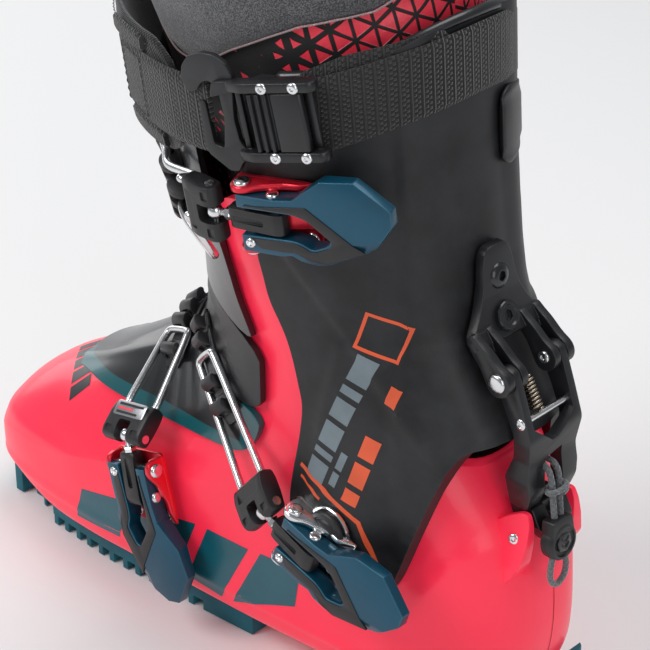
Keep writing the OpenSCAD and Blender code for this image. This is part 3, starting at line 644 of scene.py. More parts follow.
def tri_mesh():
    """glossy red liner skin under a black triangle lattice that thickens towards the front"""
    m = Mat("liner_lattice", 0.35, spec=0.5)
    u, v = m.uv()
    side, near = 0.0082, 0.5
    for k in range(3):
        a = math.radians(60 * k + 8)
        p = u * (math.cos(a) / side) + v * (math.sin(a) / side)
        near = m.math("MINIMUM", near, abs(m.frac(p + 100.5) - 0.5))
    front = m.step(m.xyz()[0], 0.082, 0.034)
    thick = m.step(m.noise(55, 1), 0.42, 0.6) * 0.16
    line = m.step(front * (thick + 0.15) + 0.075 - near, -0.02, 0.02)
    red = m.mix(m.noise(300, 3), (0.75, 0.02, 0.045), (0.98, 0.07, 0.11))
    m.colour(m.mix(line, red, (0.006, 0.006, 0.007)))
    m.rough(m.blend(line, 0.28, 0.62))
    m.relief(line + m.noise(1500, 2) * 0.25, 0.00045)
    return m


def neoprene():
    m = Mat("neoprene", 0.85, sheen=0.4, spec=0.3)
    u, v = m.uv()
    knit = m.sin(u * (2 * math.pi / 0.0011)) * m.sin(v * (2 * math.pi / 0.0016))
    cloud = m.noise(90, 3)
    pale = m.mix(cloud, (0.016, 0.016, 0.018), (0.03, 0.03, 0.033))
    m.colour(m.mix(m.step(m.noise(1300, 3, 0.7), 0.4, 0.65), (0.007, 0.007, 0.008), pale))
    m.relief(knit * 0.35 + cloud, 0.00035)
    return m


def thread(name, c):
    m = Mat(name, 0.7, sheen=0.3)
    twist = m.sin(m.noise(1400, 1) * 30)
    m.colour(m.mix(m.step(twist, -0.6, 0.6), tuple(x * 0.55 for x in c), c))
    m.relief(twist, 0.00012)
    return m


def braid(name, c, c2):
    """braided cord: u along it, v round it"""
    m = Mat(name, 0.75, sheen=0.4)
    u, v = m.uv()
    a, b = u / 0.0024, v / 0.00204
    height = m.math("MAXIMUM", m.sin((a + b) * (2 * math.pi)), m.sin((a - b) * (2 * math.pi)))
    fleck = m.step(m.noise(700, 2, 0.6), 0.5, 0.56)
    m.colour(m.mix(m.step(height, -0.2, 0.9), tuple(x * 0.7 for x in c), m.mix(fleck, c, c2)))
    m.relief(height, 0.00012)
    return m


def inner_lining():
    m = Mat("liner_inside", 0.95, sheen=0.7, spec=0.2)
    n = m.noise(700, 4, 0.7)
    m.colour(m.mix(m.step(n, 0.35, 0.65), (0.012, 0.012, 0.013), (0.04, 0.04, 0.044)))
    m.relief(n, 0.0008)
    return m


TWO_TONE, FELT, WEB, LATTICE, NEO, INSIDE = two_tone(), felt(), webbing(), tri_mesh(), neoprene(), inner_lining()
PIPING = thread("piping_pale", (0.62, 0.42, 0.43))
THREAD_GREY = thread("thread_grey", (0.2, 0.2, 0.21))
THREAD_DARK = thread("thread_dark", (0.05, 0.05, 0.055))
CORD = braid("cord_braid", (0.15, 0.16, 0.17), (0.10, 0.105, 0.11))

# ------------------------------------------------------------------ lower shell
PIVOT_X, PIVOT_Z = 85, 97


def sstep(x, a, b):
    f = np.clip((x - a) / (b - a), 0, 1)
    return f * f * (3 - 2 * f)


def bump(x, middle, width):
    return np.exp(-((x - middle) / width) ** 2)


def left_of(P, a, b):
    """signed distance in mm to the line a-b in the X-Z plane, positive to its left"""
    a, b = np.array(a, float), np.array(b, float)
    d = (b - a) / np.linalg.norm(b - a)
    return (np.stack([P[..., 0], P[..., 2]], -1) - a) @ np.array([-d[1], d[0]])


def shell_relief(P):
    """moulded features of the shell, in mm outwards, at points P"""
    x, y, z = P[..., 0], np.abs(P[..., 1]), P[..., 2]
    # heel fairing stands proud below a crease
    crease = np.interp(x, [70, 100, 118, 130, 140, 150, 160], [20, 44, 74, 95, 104, 107, 106])
    out = 1.5 * sstep(crease - z, -0.5, 2.6) * sstep(x, 92, 118)
    # reinforced rim beside the tongue
    rim = np.interp(x, [-90, -76, -51, -22, 3, 18, 27, 30], [92, 94, 97, 101, 106, 111, 122, 145])
    out += 0.9 * bump(rim - 7, z, 3.2) * (x < 32) * sstep(x, -95, -80)
    # bead above the sole
    out += 0.8 * bump(z, 31, 2.2) * sstep(y, 20, 34)
    # toe box facets
    out += 0.7 * bump(z, 62 + 0.06 * x, 3.0) * sstep(-x, 60, 90)
    # small swell over the ankle bones
    return out + 1.2 * bump(x, 40, 20) * bump(z, 112, 18)


def raised(P, surface, off, relief):
    """grid of points moved out along the surface by the relief"""
    return P + (surface(off + 1.0) - P) * relief(P)[..., None] if relief else P


def foot_loft(name, off, u0, u1, n, m, relief=None, nose=False, mat=None):
    U, T = np.meshgrid(np.linspace(u0, u1, n), np.arange(m) * 360.0 / m, indexing="ij")
    P = raised(foot(U, T, off), lambda o: foot(U, T, o), off, relief)
    if nose:  # rounds the toe off in front of the first section
        first = P[0]
        c = (first.max(0) + first.min(0)) / 2
        extra = []
        for k in (0.35, 0.6, 0.78, 0.9, 0.97):
            q = c + (first - c) * k
            q[:, 0] -= 3.0 * math.sqrt(1 - k * k)
            extra.append(q)
        P = np.concatenate([np.array(extra), P])
    return loft(name, P, mat, 180)


def leg_loft(name, off, z0, z1, n, m, relief=None, mat=None):
    H, T = np.meshgrid(np.linspace(z0, z1, n), np.arange(m) * 360.0 / m, indexing="ij")
    return loft(name, raised(leg(H, T, off), lambda o: leg(H, T, o), off, relief), mat, 180)


def trim(o, inside, outline, name):
    """hollows a loft with a smaller one and keeps what is inside an outline seen from the side"""
    cut(o, inside)
    cut(o, prism("t", outline, -90, 90, None, XZ), "INTERSECT")
    o.name = name
    return smooth(o, 32)


def cut_pivots(o, r):
    cut(o, merge("t", [rod(r, -20, 20, (PIVOT_X, s * 48, PIVOT_Z), Y, None, 48) for s in (-1, 1)]))
    return smooth(o, 32)


SHELL_SIDE = [(-170, 0), (170, 0), (170, 118), (136, 124), (112, 137), (92, 146), (76, 160), (64, 190), (52, 216),
              (40, 224), (14, 222), (16, 200), (20, 178), (25, 161), (28, 141), (27, 126), (18, 115), (3, 110),
              (-22, 105), (-51, 101), (-76, 98), (-84, 96), (-90, 130), (-170, 130)]
shell = foot_loft("shell_outer", 0, 0, LAST, 190, 176, shell_relief, True, PINK)
trim(shell, foot_loft("t", -4.5, 0.4, LAST + 0.3, 60, 72), chaikin(SHELL_SIDE, 3), "shell")
done(cut_pivots(shell, 6.4), "shell", "pink_plastic", "lower_shell")

# ------------------------------------------------------------------ cuff
CUFF_SIDE = [(47, 287), (47, 215), (50, 200), (52, 190), (58, 180), (62, 170), (66, 155), (68, 147), (66, 131),
             (62, 114), (59, 97), (61, 82), (72, 73), (95, 70), (109, 72), (115, 82), (122, 108), (127, 127),
             (133, 142), (138, 147), (160, 148), (160, 320), (112, 316), (106, 310), (97, 302), (79, 292), (60, 288)]


def cuff_relief(P):
    """facets and bands of the cuff, in mm outwards"""
    x, z = P[..., 0], P[..., 2]
    side = sstep(np.abs(P[..., 1]), 12, 26)
    out = 1.3 * sstep(left_of(P, (50, 228), (84, 186)), -1.2, 1.4) * side * sstep(x, 40, 60)
    out += 1.1 * sstep(left_of(P, (84, 186), (72, 120)), -2, 1.0) * side * sstep(185 - z, 0, 6)
    out += 1.3 * sstep(left_of(P, (100, 245), (108, 150)), -1.4, 1.4) * side
    # collar round the pivot
    out += 1.0 * sstep(17 - np.hypot(x - PIVOT_X, z - PIVOT_Z), -1.5, 1.5) * (z < 125)
    # stiffer band along the lower edge
    low = np.interp(x, [60, 72, 95, 109, 115, 122, 127, 133, 138], [84, 74, 71, 73, 83, 109, 128, 142, 147])
    return out + 0.7 * sstep(8 - (z - low), -1, 1.5)


cuff = leg_loft("cuff_outer", 0, 62, 325, 190, 200, cuff_relief, CUFF)
trim(cuff, leg_loft("t", -3.6, 61, 330, 60, 100), chaikin(CUFF_SIDE, 3), "cuff_shell")
done(cut_pivots(cuff, 9.3), "cuff", "charcoal_plastic", "cuff")

# rolled lip of the cuff's rim
lip = []
for t in np.linspace(-66, 66, 90):
    z = 290.0
    for _ in range(6):  # the rim's height depends on x, which depends on the height
        z = float(np.interp(leg(z, t)[0], [40, 60, 79, 97, 106, 112], [287.5, 288.5, 292, 302, 309.5, 313]))
    lip.append(leg(z - 0.4, t, -1.6))
done(tube("cuff_lip", lip, [0.6] + [2.3] * 88 + [0.6], GLOSSY, 12), "cuff", "black_plastic")


# ------------------------------------------------------------------ tongue
def ribs(d, pitch):
    return 0.5 - 0.5 * np.cos(2 * math.pi * d / pitch)


def low_ribs(P):
    """two ridges along the instep and cross ribs between them"""
    x, y, z = P[..., 0], np.abs(P[..., 1]), P[..., 2]
    across = ribs(x * 0.62 + z * 0.78, 9) * sstep(x, -48, -34) * sstep(26 - y, 0, 5)
    return 0.8 * bump(y, 20, 3.0) * sstep(-x, 20, 45) - 0.7 * across


def flex_ribs(P):
    """corrugation of the bellows, deep at the front"""
    d = (P[..., 2] - 128.6) + (P[..., 0] + 20) * 0.12
    return -1.1 * sstep(20 - P[..., 0], 0, 30) * ribs(d, 8.5) ** 0.8


def high_ribs(P):
    z = P[..., 2]
    return -0.8 * ribs(z, 10) * sstep(205 - z, 0, 8) * sstep(24 - np.abs(P[..., 1]), 0, 6)


def tongue_part(name, outline, relief, mat):
    o = foot_loft(name + "_raw", 4.4, 2, LAST, 120, 140, relief, False, mat)
    return trim(o, foot_loft("t", 1.2, 1.6, LAST + 0.3, 60, 72), chaikin(outline, 2), name)


T_LOW = [(-112, 130), (-110, 84), (-93, 88), (-76, 90), (-51, 93), (-22, 97), (3, 101), (28, 105), (37, 116),
         (39, 128), (0, 128), (-60, 128), (-60, 140)]
T_MID = [(-60, 128.6), (0, 128.6), (39, 128.6), (39, 144), (39, 160), (-20, 171), (-60, 178)]
T_TOP = [(-60, 178.6), (-20, 171.6), (36, 160.6), (31, 169), (25, 178), (21, 191), (10, 225), (2, 262), (-90, 280)]
done(tongue_part("tongue_low", T_LOW, low_ribs, TWO_TONE), "shell", "charcoal_plastic", "tongue_lower")
mid = tongue_part("tongue_flex", T_MID, flex_ribs, BLACK)
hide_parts("tongue_bellows")
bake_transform(mid)
done(tongue_part("tongue_top", T_TOP, high_ribs, GLOSSY), "cuff", "charcoal_plastic", "tongue_upper")


# ------------------------------------------------------------------ buckles
def rot(r):
    return np.array(Euler([math.radians(v) for v in r], "XYZ").to_matrix())


def unit(v):
    v = np.asarray(v, float)
    return v / np.linalg.norm(v)


def place4(P, M):
    """matrix that puts local mm at P with axes M's columns"""
    return Matrix([list(M[i]) + [P[i] * MM] for i in range(3)] + [[0, 0, 0, 1]])


def surf_axes(u, t):
    """axes on the boot's skin as columns: round the boot, along it, outwards"""
    p = foot(u, t)
    a = unit(foot(u, t + 0.5) - foot(u, t - 0.5))
    n = unit(np.cross(a, foot(u + 0.05, t) - foot(u - 0.05, t)))
    n = n if n[0] * (p[0] - 40) + n[1] * p[1] + n[2] * (p[2] - 60) > 0 else -n
    return np.stack([a, np.cross(n, a), n], 1)


def dome(at, axis, r, h, mat, socket=0.0):
    """button head with a hex socket"""
    prof = [(0.01, -0.4), (r, -0.4), (r, h * 0.25), (r * 0.93, h * 0.6), (r * 0.72, h * 0.9), (r * 0.45, h)]
    o = lathe("t", prof + [(0.01, h)], mat, 32, frame_at(at, axis))
    return smooth(hex_socket(o, socket, h * 0.35, h + 3, frame_at(at, axis)), 40) if socket else o


# outlines of one buckle about its lever's hinge, blade towards +x, in mm
BLADE_TOP = 4.4
WIRE_HALF = 9  # half the width of the wire loop on its ladder
RIVETS_AT = ((6, 0), (21, 0), (24, 9.5), (24, -9.5))
BLADE = [(-1.4, 11.5), (15.5, 11.3), (23.5, 12.4), (28, 16), (36, 21.4), (50, 22.4), (64, 12), (64, 5.6),
         (56.5, -4.2), (52, -7.2), (34.5, -15.4), (29.2, -16.2), (25, -15.0), (19.7, -12.4), (14.6, -13.4),
         (-1.6, -13.2)]
INLAY = [(1.5, 7.6), (6.2, 7.4), (10.9, 8.0), (29.0, 10.2), (47.0, -3.4), (52.0, -6.3), (34.5, -13.9), (27.2, -13.2),
         (21.6, -10.6), (15.8, -11.0), (6.2, -10.9), (2.4, -7.6)]
BLADE_SLOT = [(-9, -6.2), (21.5, -5.6), (25.3, -6.4), (29.2, -8.6), (36.5, -5.4), (38.0, -3.0), (28.4, 4.6),
              (22.6, 6.0), (-9, 6.2)]
BLADE_POCKET = [(40, 12), (50, 15), (57, 9), (56, 3), (50, -1), (42, 6)]
ARM = [(-7, -2.8), (-7, 2.6), (-4.5, 3.4), (5, 4.2), (14, 4.8), (17.4, 3.8), (18, 0), (16.6, -2.8)]
BLOCK = [(-14, -3.4), (-14.6, 0), (-14, 3.2), (-9, 4.6), (0, 4.6), (3.2, 3.4), (4, 0), (3, -3.6), (-4, -4.2),
         (-10, -4.2)]


def lever_blade(name):
    o = prism(name, BLADE, -2.6, BLADE_TOP, PETROL)

    def shave(bm, a, b, tilt):
        """removes what rises above a plane that falls away to the left of a-b"""
        d = unit((b[0] - a[0], b[1] - a[1]))
        slope = math.sin(math.radians(tilt))
        bmesh.ops.bisect_plane(bm, geom=bm.verts[:] + bm.edges[:] + bm.faces[:], clear_outer=True, dist=1e-7,
                               plane_co=Vector((a[0], a[1], BLADE_TOP)) * MM,
                               plane_no=Vector((-d[1] * slope, d[0] * slope, math.cos(math.radians(tilt)))))
        bmesh.ops.edgeloop_fill(bm, edges=[e for e in bm.edges if e.is_boundary])

    def facets(bm):
        shave(bm, (48.5, -2.8), (27.8, 14.5), -6.5)
        shave(bm, (65, 4.5), (48.5, -2.8), 20)
        shave(bm, (34, -12.4), (52, -4.4), -16)
        bmesh.ops.recalc_face_normals(bm, faces=bm.faces)

    edit(o, facets)
    cut(o, prism("t", rounded(BLADE_SLOT, 2.2), -9, 9))
    cut(o, prism("t", rounded(BLADE_POCKET, 2, 3), -9, 0.6))
    return bevel(o, 0.55, 2, 14)


def lever_inlay(name):
    o = prism(name, rounded(INLAY, 0.8, 3), 3.7, 4.75, BLACK)
    cut(o, prism("t", rounded([(x + (0.6 if x > 30 else 0), y * 1.13) for x, y in BLADE_SLOT], 2.2), -9, 9))

    def follow_facet(bm):
        for v in bm.verts:
            d = (v.co.x / MM - 34) * -0.406 + (v.co.y / MM + 12.4) * 0.914
            if d < 0 and v.co.x > 30 * MM:
                v.co.z += d * MM * 0.27

    edit(o, follow_facet)
    return bevel(o, 0.3)


def buckle(key, P, r, lean, plate_z, parent, base_mat, base_slot, cross, mids_a=(), mids_b=(), label=False):
    """lever, arm, base, block and wire of one buckle. P and r place it, lean turns the block, cross is where
    the wire lies on its ladder, mids_a and mids_b are points that the wire passes on its two sides"""
    M = rot(r)
    at = place4(P, M)
    done(put(lever_blade(key + "_lever_blade"), at), key + "_lever", "petrol_alu", key + "_lever")
    done(put(lever_inlay(key + "_inlay"), at), key + "_lever", "black_plastic", key + "_lever_inlay")
    pins = [dome((13, 11.3, 0.4), Y, 2.7, 1.3, CHROME), dome((13, -13.2, 0.4), (0, -1, 0), 2.7, 1.3, CHROME),
            dome((2.1, -9.0, 4.3), Z, 2.2, 1.4, CHROME, 1.1),
            rod(2, -15.4, 15.4, (0, 0, 0), Y, CHROME), rod(2, -11.2, 11.2, (13, 0, 0), Y, CHROME)]
    pins += [dome((0, s * 15.0, 0), (0, s, 0), 3.2, 1.4, CHROME) for s in (-1, 1)]
    done(put(merge(key + "_lever_pins", pins), at), key + "_lever", "steel", key + "_pins")
    # arm with its recessed top and the threaded eyebolt
    arm = bore(prism(key + "_arm_bar", rounded(ARM, 1.2), -4.4, 4.4, BLACK, XZ), 2.05, 13, 0, 28)
    bevel(arm, 0.9)
    pocket(arm, (-5, -1.5, 9, 1.5), 1.2, 3.1, 9)
    pocket(arm, (11, -2.6, 19, 2.6), 0.6, -3.4, -1.6)
    done(put(smooth(arm, 35), at), key + "_arm", "black_plastic", key + "_arm")
    screw = [(1.62 if k % 2 else 1.32, -13 + k * 0.5) for k in range(22)]
    ball = [(0.01, -3.2), (1.6, -2.9), (2.7, -1.8), (3.2, 0), (2.7, 1.8), (1.6, 2.9), (0.01, 3.2)]
    nut = [(0.01, -1.3), (2.4, -1.3), (2.9, -0.9), (2.9, 0.9), (2.4, 1.3), (0.01, 1.3)]
    eye = [lathe("t", [(0.01, -13.0)] + screw + [(0.01, -2.3)], STEEL, 20, frame_at((0, 0, 0), X)),
           lathe("t", ball, CHROME, 32, frame_at((-15, 0, 0), Y)),
           lathe("t", nut, CHROME, 6, frame_at((-8.3, 0, 0), X), 10)]
    done(put(merge(key + "_eyebolt_steel", eye), at), key + "_arm", "steel", key + "_eyebolt")
    # riveted base with its two ears, and the leaf spring on it
    foot_plate = [(-6, -14.8), (26, -14.8), (29, -9), (29, 9), (26, 14.8), (-6, 14.8)]
    ear = [(-5, plate_z), (-5, 0.5), (-3.4, 3.4), (0, 4.4), (3.6, 3.2), (7, 0.6), (12, -1.0),
           (17, -1.6 + 0.25 * (plate_z + 1.6)), (22, -3.0), (28, plate_z + 1.4), (28, plate_z)]
    base = [prism("t", rounded(foot_plate, 2.5), plate_z, plate_z + 1.8, base_mat)]
    base += [side_plate("t", ear, y, y + 2.8, base_mat, 1.6) for y in (-14.7, 11.9)]
    done(put(bevel(merge(key + "_base_plate", base), 0.35), at), parent, base_slot, key + "_base")
    rings = []
    for x in np.linspace(3, 26, 24):
        z = plate_z + 2.6 + 2.4 * math.sin(max(0, min(1, (x - 4) / 20)) * math.pi)
        rings.append([(x, -4.4, z), (x, 4.4, z), (x, 4.4, z + 0.7), (x, -4.4, z + 0.7)])
    done(put(bevel(loft(key + "_leaf_spring", rings, base_mat), 0.25, 1), at), parent, base_slot)
    # block: ribbed body with a groove for the eye
    turn = M @ rot([0, *lean])
    eye_at = np.array(P) + M @ np.array([-15.0, 0, 0])
    at = place4(eye_at, turn)
    block = side_plate(key + "_block_body", BLOCK, -12.2, 12.2, BLACK, 1.4, 1.0)
    pocket(block, (-5, -3.9, 9, 3.9), 1.2, -9, 9, 4)
    pocket(block, (-12.4, -8.6, -7.4, 8.6), 1, 3.7, 9)
    for y in (-8.2, 8.2):
        pocket(block, (-1.4, y - 2.0, 2, y + 2.0), 0.8, 3.9, 9)
    done(put(smooth(block, 35), at), key + "_bail", "black_plastic", key + "_block")
    if label:
        plate = slab(rect(-13.4, -9.6, -6.4, 9.6), 1.2, 3.9, 4.9, LABEL, 0.2, 4, key + "_label")
        done(put(plate, at), key + "_bail", "steel")
        marks = [prism("t", rounded(rect(x, -7.8, x + 1.1, y), 0.2, 2), 4.85, 4.98, m)
                 for x, y, m in ((-12.3, 7.8, PRINT_DARK), (-10.3, 2.0, PRINT_PINK), (-8.4, 5.4, PRINT_DARK))]
        done(put(merge(key + "_label_marks", marks), at), key + "_bail", "black_plastic")
    # wire loop
    u, t, off = cross
    c, ax = foot(u, t, off), surf_axes(u, t)[:, 1]
    ax = ax if ax @ M[:, 1] > 0 else -ax

    def side_path(ax, hole, mids):
        way = [eye_at + turn @ np.array([x, hole, 0]) for x in (-9, -14.2, -18)] + [foot(*m) for m in mids]
        corner = c + ax * WIRE_HALF
        back = way[-1] - corner
        d = unit(back)
        return way + [corner + back * 0.5, corner + d * 5, corner - ax + d, c + ax * (WIRE_HALF - 5)]

    route = side_path(ax, 9, mids_a) + side_path(-ax, -9, mids_b)[::-1]
    neck = [(0.01, -12.6), (1.9, -12.6), (1.9, -12.0), (1.25, -11.9)]
    pin = lathe("t", neck + [(r, -y) for r, y in neck[::-1]], CHROME, 24, frame_at((0, 0, 0), Y))
    wire = [tube("t", spline(route), 1.7, WIRE, 20), put(pin, at)]
    done(merge(key + "_wire", wire), key + "_bail", "steel", key + "_bail")


# place and turn of each buckle
TOE = ((-28.5, -60, 79), (90, 75, 0))
INSTEP = ((68.7, -62.5, 90.4), (90, 17, 0))
TOP = ((53, -66.5, 232), (97.5, -5.7, 14.5))
buckle("toe", *TOE, (-50, -3), -6.2, "shell", RED, "red_metal", (6.8, 122, 8.4), label=True)
buckle("instep", *INSTEP, (-16, -23), -8.2, "shell", CHROME, "steel", (9.7, 143.5, 8.4))
buckle("top", *TOP, (-18, 0), -6.8, "cuff", RED, "red_metal", (16.0, 125, 12),
       ((18.6, 168, 11), (17.6, 148, 12)), ((17.0, 168, 11), (16.0, 148, 12)))
# extra hanger of the instep base round the pivot bolt
at_toe, at_instep, at_top = [place4(p, rot(r)) for p, r in (TOE, INSTEP, TOP)]
collar = [(6.1, -8.2), (10.4, -8.2), (10.8, -7.8), (10.8, -6.8), (10.4, -6.4), (6.1, -6.4)]
hanger = [lathe("t", collar, CHROME, 48, frame_at((13.66, 11.07, 0), Z)),
          prism("t", rounded(rect(-13, -14, -4, -5), 2.5), -8.2, -6.4, CHROME),
          rod(3.5, -13.2, -6.5, (-9.5, -9.5, 0), Z, CHROME, 28)]
done(put(merge("instep_hanger", hanger), at_instep), "shell", "steel")
rivets = [put(dome((x, y, -4.4), Z, 2.9, 1.2, CHROME), at_toe) for x, y in RIVETS_AT]
rivets.append(put(dome((-9.5, -9.5, -6.4), Z, 3.2, 1.4, CHROME, 1.3), at_instep))
done(merge("shell_rivets", rivets), "shell", "steel", "base_rivets")
rivets = [put(dome((x, y, -5.0), Z, 2.9, 1.2, CHROME), at_top) for x, y in RIVETS_AT]
done(merge("cuff_rivets", rivets), "cuff", "steel", "top_rivets")

# ------------------------------------------------------------------ ladders
LADDER_LIFT = 4.9


def ladder(name, teeth, w, h, node):
    """row of hooked teeth at places (u, t), w mm wide and h mm high, on a curved strip"""
    prof = [(-4.6, -0.4), (4.4, -0.4), (4.9, 1.4), (4.2, 3.6), (2.6, h * 0.86), (0.4, h), (-1.6, h * 0.93),
            (-2.3, h * 0.72), (-1.3, h * 0.5), (-1.5, 2.0), (-4.6, 1.5)]
    parts = []
    for u, t in teeth:
        o = side_plate("t", prof, -w / 2, w / 2, BLACK, 1.1, 0.7)
        cut(o, rod(1.7, -w * 0.26, w * 0.26, (5.0, 0, 3.2), Y, None, 20))
        parts.append(put(smooth(o, 35), place4(foot(u, t, LADDER_LIFT), surf_axes(u, t))))
    fit = np.polyfit(np.arange(len(teeth)), np.array(teeth), 2)
    rings = []
    for q in np.linspace(-0.45, len(teeth) - 0.55, 30):
        u, t = np.polyval(fit[:, 0], q), np.polyval(fit[:, 1], q)
        m = surf_axes(u, t)
        half = (w / 2 + 1.4) * min(1, 0.55 + min(q + 0.45, len(teeth) - 0.55 - q) * 1.6)
        section = [(-half, 0), (half, 0), (half, 1.0), (half - 0.7, 1.5), (-half + 0.7, 1.5), (-half, 1.0)]
        rings.append([foot(u, t, 4.3) + m[:, 1] * y + m[:, 2] * z for y, z in section])
    parts.append(loft("t", rings, BLACK))
    on(smooth(merge(name, parts), 35), "black_plastic", node)


ladder("toe_ladder_rack", [(6.9, 130), (6.8, 114.6), (6.8, 105.6), (6.75, 96.6)], 12, 6.4, "toe_ladder")
ladder("ankle_ladder_rack", [(10.05, 156.5), (9.88, 149.9), (9.6, 137.5), (9.4, 131.5)], 11, 6.4, "ankle_ladder")


def claw(u, t, w):
    """big catch with a round eye"""
    prof = [(-6.5, -0.6), (7.0, -0.6), (8.2, 2.0), (7.6, 5.4), (5.4, 8.2), (2.4, 9.4), (-0.6, 9.0), (-2.4, 7.4),
            (-2.2, 5.6), (-0.6, 4.6), (0.2, 3.2), (-1.4, 2.0), (-6.5, 1.6)]
    o = side_plate("t", prof, -w / 2, w / 2, BLACK, 1.3, 0.9)
    for y in (-w * 0.22, w * 0.22):
        pocket(o, (3.0, y - w * 0.13, 9.6, y + w * 0.13), 1.2, 1.8, 12)
    return put(smooth(o, 35), place4(foot(u, t, LADDER_LIFT), surf_axes(u, t)))


on(merge("top_catch", [claw(16.0, t, 20) for t in (138, 129, 120)]), "black_plastic", "top_ladder")


# ------------------------------------------------------------------ straps, stitches and softened CAD parts
def softened(node, mat, width=0.6, segments=2, slot="steel"):
    """the CAD solid of a node with flat faces joined and its edges rounded"""
    o = new_object(node + "_part", frame["nodes"][node].data.copy())

    def join_flats(bm):
        bmesh.ops.remove_doubles(bm, verts=bm.verts, dist=1e-6)
        bmesh.ops.dissolve_limit(bm, angle_limit=math.radians(1.5), verts=bm.verts, edges=bm.edges)

    o.data.materials.clear()
    edit(o, join_flats)
    o.data.materials.append(mat.m)
    return on(bevel(o, width, segments, 32), slot, node)


def strip(name, path, half, thick, mat, up, across=9, round_ends=True):
    """flat strap: path of (point, outward) in mm; half its width, or a list of it, along up or up[i]"""
    rings, run, uv = [], 0.0, []
    last = len(path) - 1
    for i, (p, out) in enumerate(path):
        p, out = np.array(p, float), unit(out)
        w = unit(up[i] if isinstance(up, list) else up)
        run += np.linalg.norm(p - np.array(path[i - 1][0])) if i else 0
        h = half[i] if isinstance(half, list) else half
        if round_ends:
            h *= min(1.0, 0.72 + 0.28 * math.sqrt(min(i, last - i) / 1.5))
        shares = np.linspace(-1, 1, across)
        edge = 0.5 * thick * np.maximum(0.0, np.abs(shares) - 0.86) / 0.14
        rings.append([p + w * h * f + out * (thick - e) for f, e in zip(shares, edge)]
                     + [p + w * h * f + out * (0.7 * e) for f, e in zip(shares[::-1], edge[::-1])])
        uv.append([(run, h * f + 100) for f in (*shares, *shares[::-1])])
    o = loft(name, rings, mat, 55)
    set_uv(o, uv)
    return o


STITCH_R = 0.26


def stitches(name, pts, outs, mat, length=2.2, gap=0.9):
    """run of thread stitches along points; each is a small bent bar"""
    P, O = np.array(pts, float), np.array([unit(o) for o in outs])
    s = np.concatenate([[0], np.cumsum(np.linalg.norm(np.diff(P, axis=0), axis=1))])

    def at(table, d):
        return np.array([np.interp(d, s, table[:, k]) for k in range(3)])

    objs, d = [], 0.4
    while d + length < s[-1]:
        path = []
        for f in (0, 0.2, 0.5, 0.8, 1):
            arch = 0.55 * math.sin(math.pi * min(1, max(0, f * 0.9 + 0.05)))
            path.append(at(P, d + f * length) + unit(at(O, d + f * length)) * (arch - 0.25))
        objs.append(tube("t", path, [STITCH_R * k for k in (0.7, 1, 1, 1, 0.7)], mat, 6, uv=False))
        d += length + gap
    return merge(name, objs)


# ------------------------------------------------------------------ decals laid on the moulded skins
VIEWS = {"y": (X, Z, (0, -120, 0), Y), "-y": (X, Z, (0, 120, 0), (0, -1, 0)),
         "x": (Y, Z, (220, 0, 0), (-1, 0, 0)), "z": (X, Y, (0, 0, 250), (0, 0, -1))}
DECAL_LIFT = 0.14


def cast(target, a, b, view):
    """point just above a skin, seen along an axis; a and b are its two other coordinates"""
    side, up, start, way = [Vector(v) for v in VIEWS[view]]
    hit, p, n, _ = target.ray_cast((start + side * a + up * b) * MM, way)
    return np.array(p) / MM + np.array(n) * DECAL_LIFT if hit else None


def decal(name, quads, mat, target, body, slot, view="y", step=1.6):
    """thin sheets over a skin; a quad that misses the skin anywhere is left out"""
    objs = []
    for q in np.array(quads, float):
        n = max(2, int(max(np.linalg.norm(q[1] - q[0]), np.linalg.norm(q[2] - q[3])) / step))
        m = max(2, int(max(np.linalg.norm(q[3] - q[0]), np.linalg.norm(q[2] - q[1])) / step))
        grid = []
        for a in np.arange(n + 1) / n:
            row = []
            for b in np.arange(m + 1) / m:
                c = q[0] * (1 - a) * (1 - b) + q[1] * a * (1 - b) + q[2] * a * b + q[3] * (1 - a) * b
                row.append(cast(target, c[0], c[1], view))
            grid.append(row[::-1] if view == "-y" else row)
        if all(p is not None for row in grid for p in row):
            objs.append(patch("t", grid, mat))
    return done(merge(name, objs), body, slot)


def stripe(pts, width, closed=False):
    """quads along a line of points, mitred where it turns"""
    P = [np.array(p, float) for p in pts]
    n = len(P)
    side = []
    for i in range(n):
        before = P[i - 1] if (i or closed) else P[0]
        after = P[(i + 1) % n] if (i < n - 1 or closed) else P[-1]
        d1, d2 = P[i] - before, after - P[i]
        d1, d2 = d1 / (np.linalg.norm(d1) or 1), d2 / (np.linalg.norm(d2) or 1)
        t = unit(d1 + d2)
        k = np.array([-t[1], t[0]])
        ref = d1 if np.linalg.norm(d1) else d2
        side.append(k * width / 2 / max(0.35, abs(k @ np.array([-ref[1], ref[0]]))))
    return [[P[i] - side[i], P[j] - side[j], P[j] + side[j], P[i] + side[i]]
            for i, j in [(i, (i + 1) % n) for i in range(n if closed else n - 1)]]


def bars(a, b, width, runs):
    """blocks of the given start and end shares along the line a-b"""
    a, b = np.array(a, float), np.array(b, float)
    return [q for lo, hi in runs for q in stripe([a + (b - a) * lo, a + (b - a) * hi], width)]


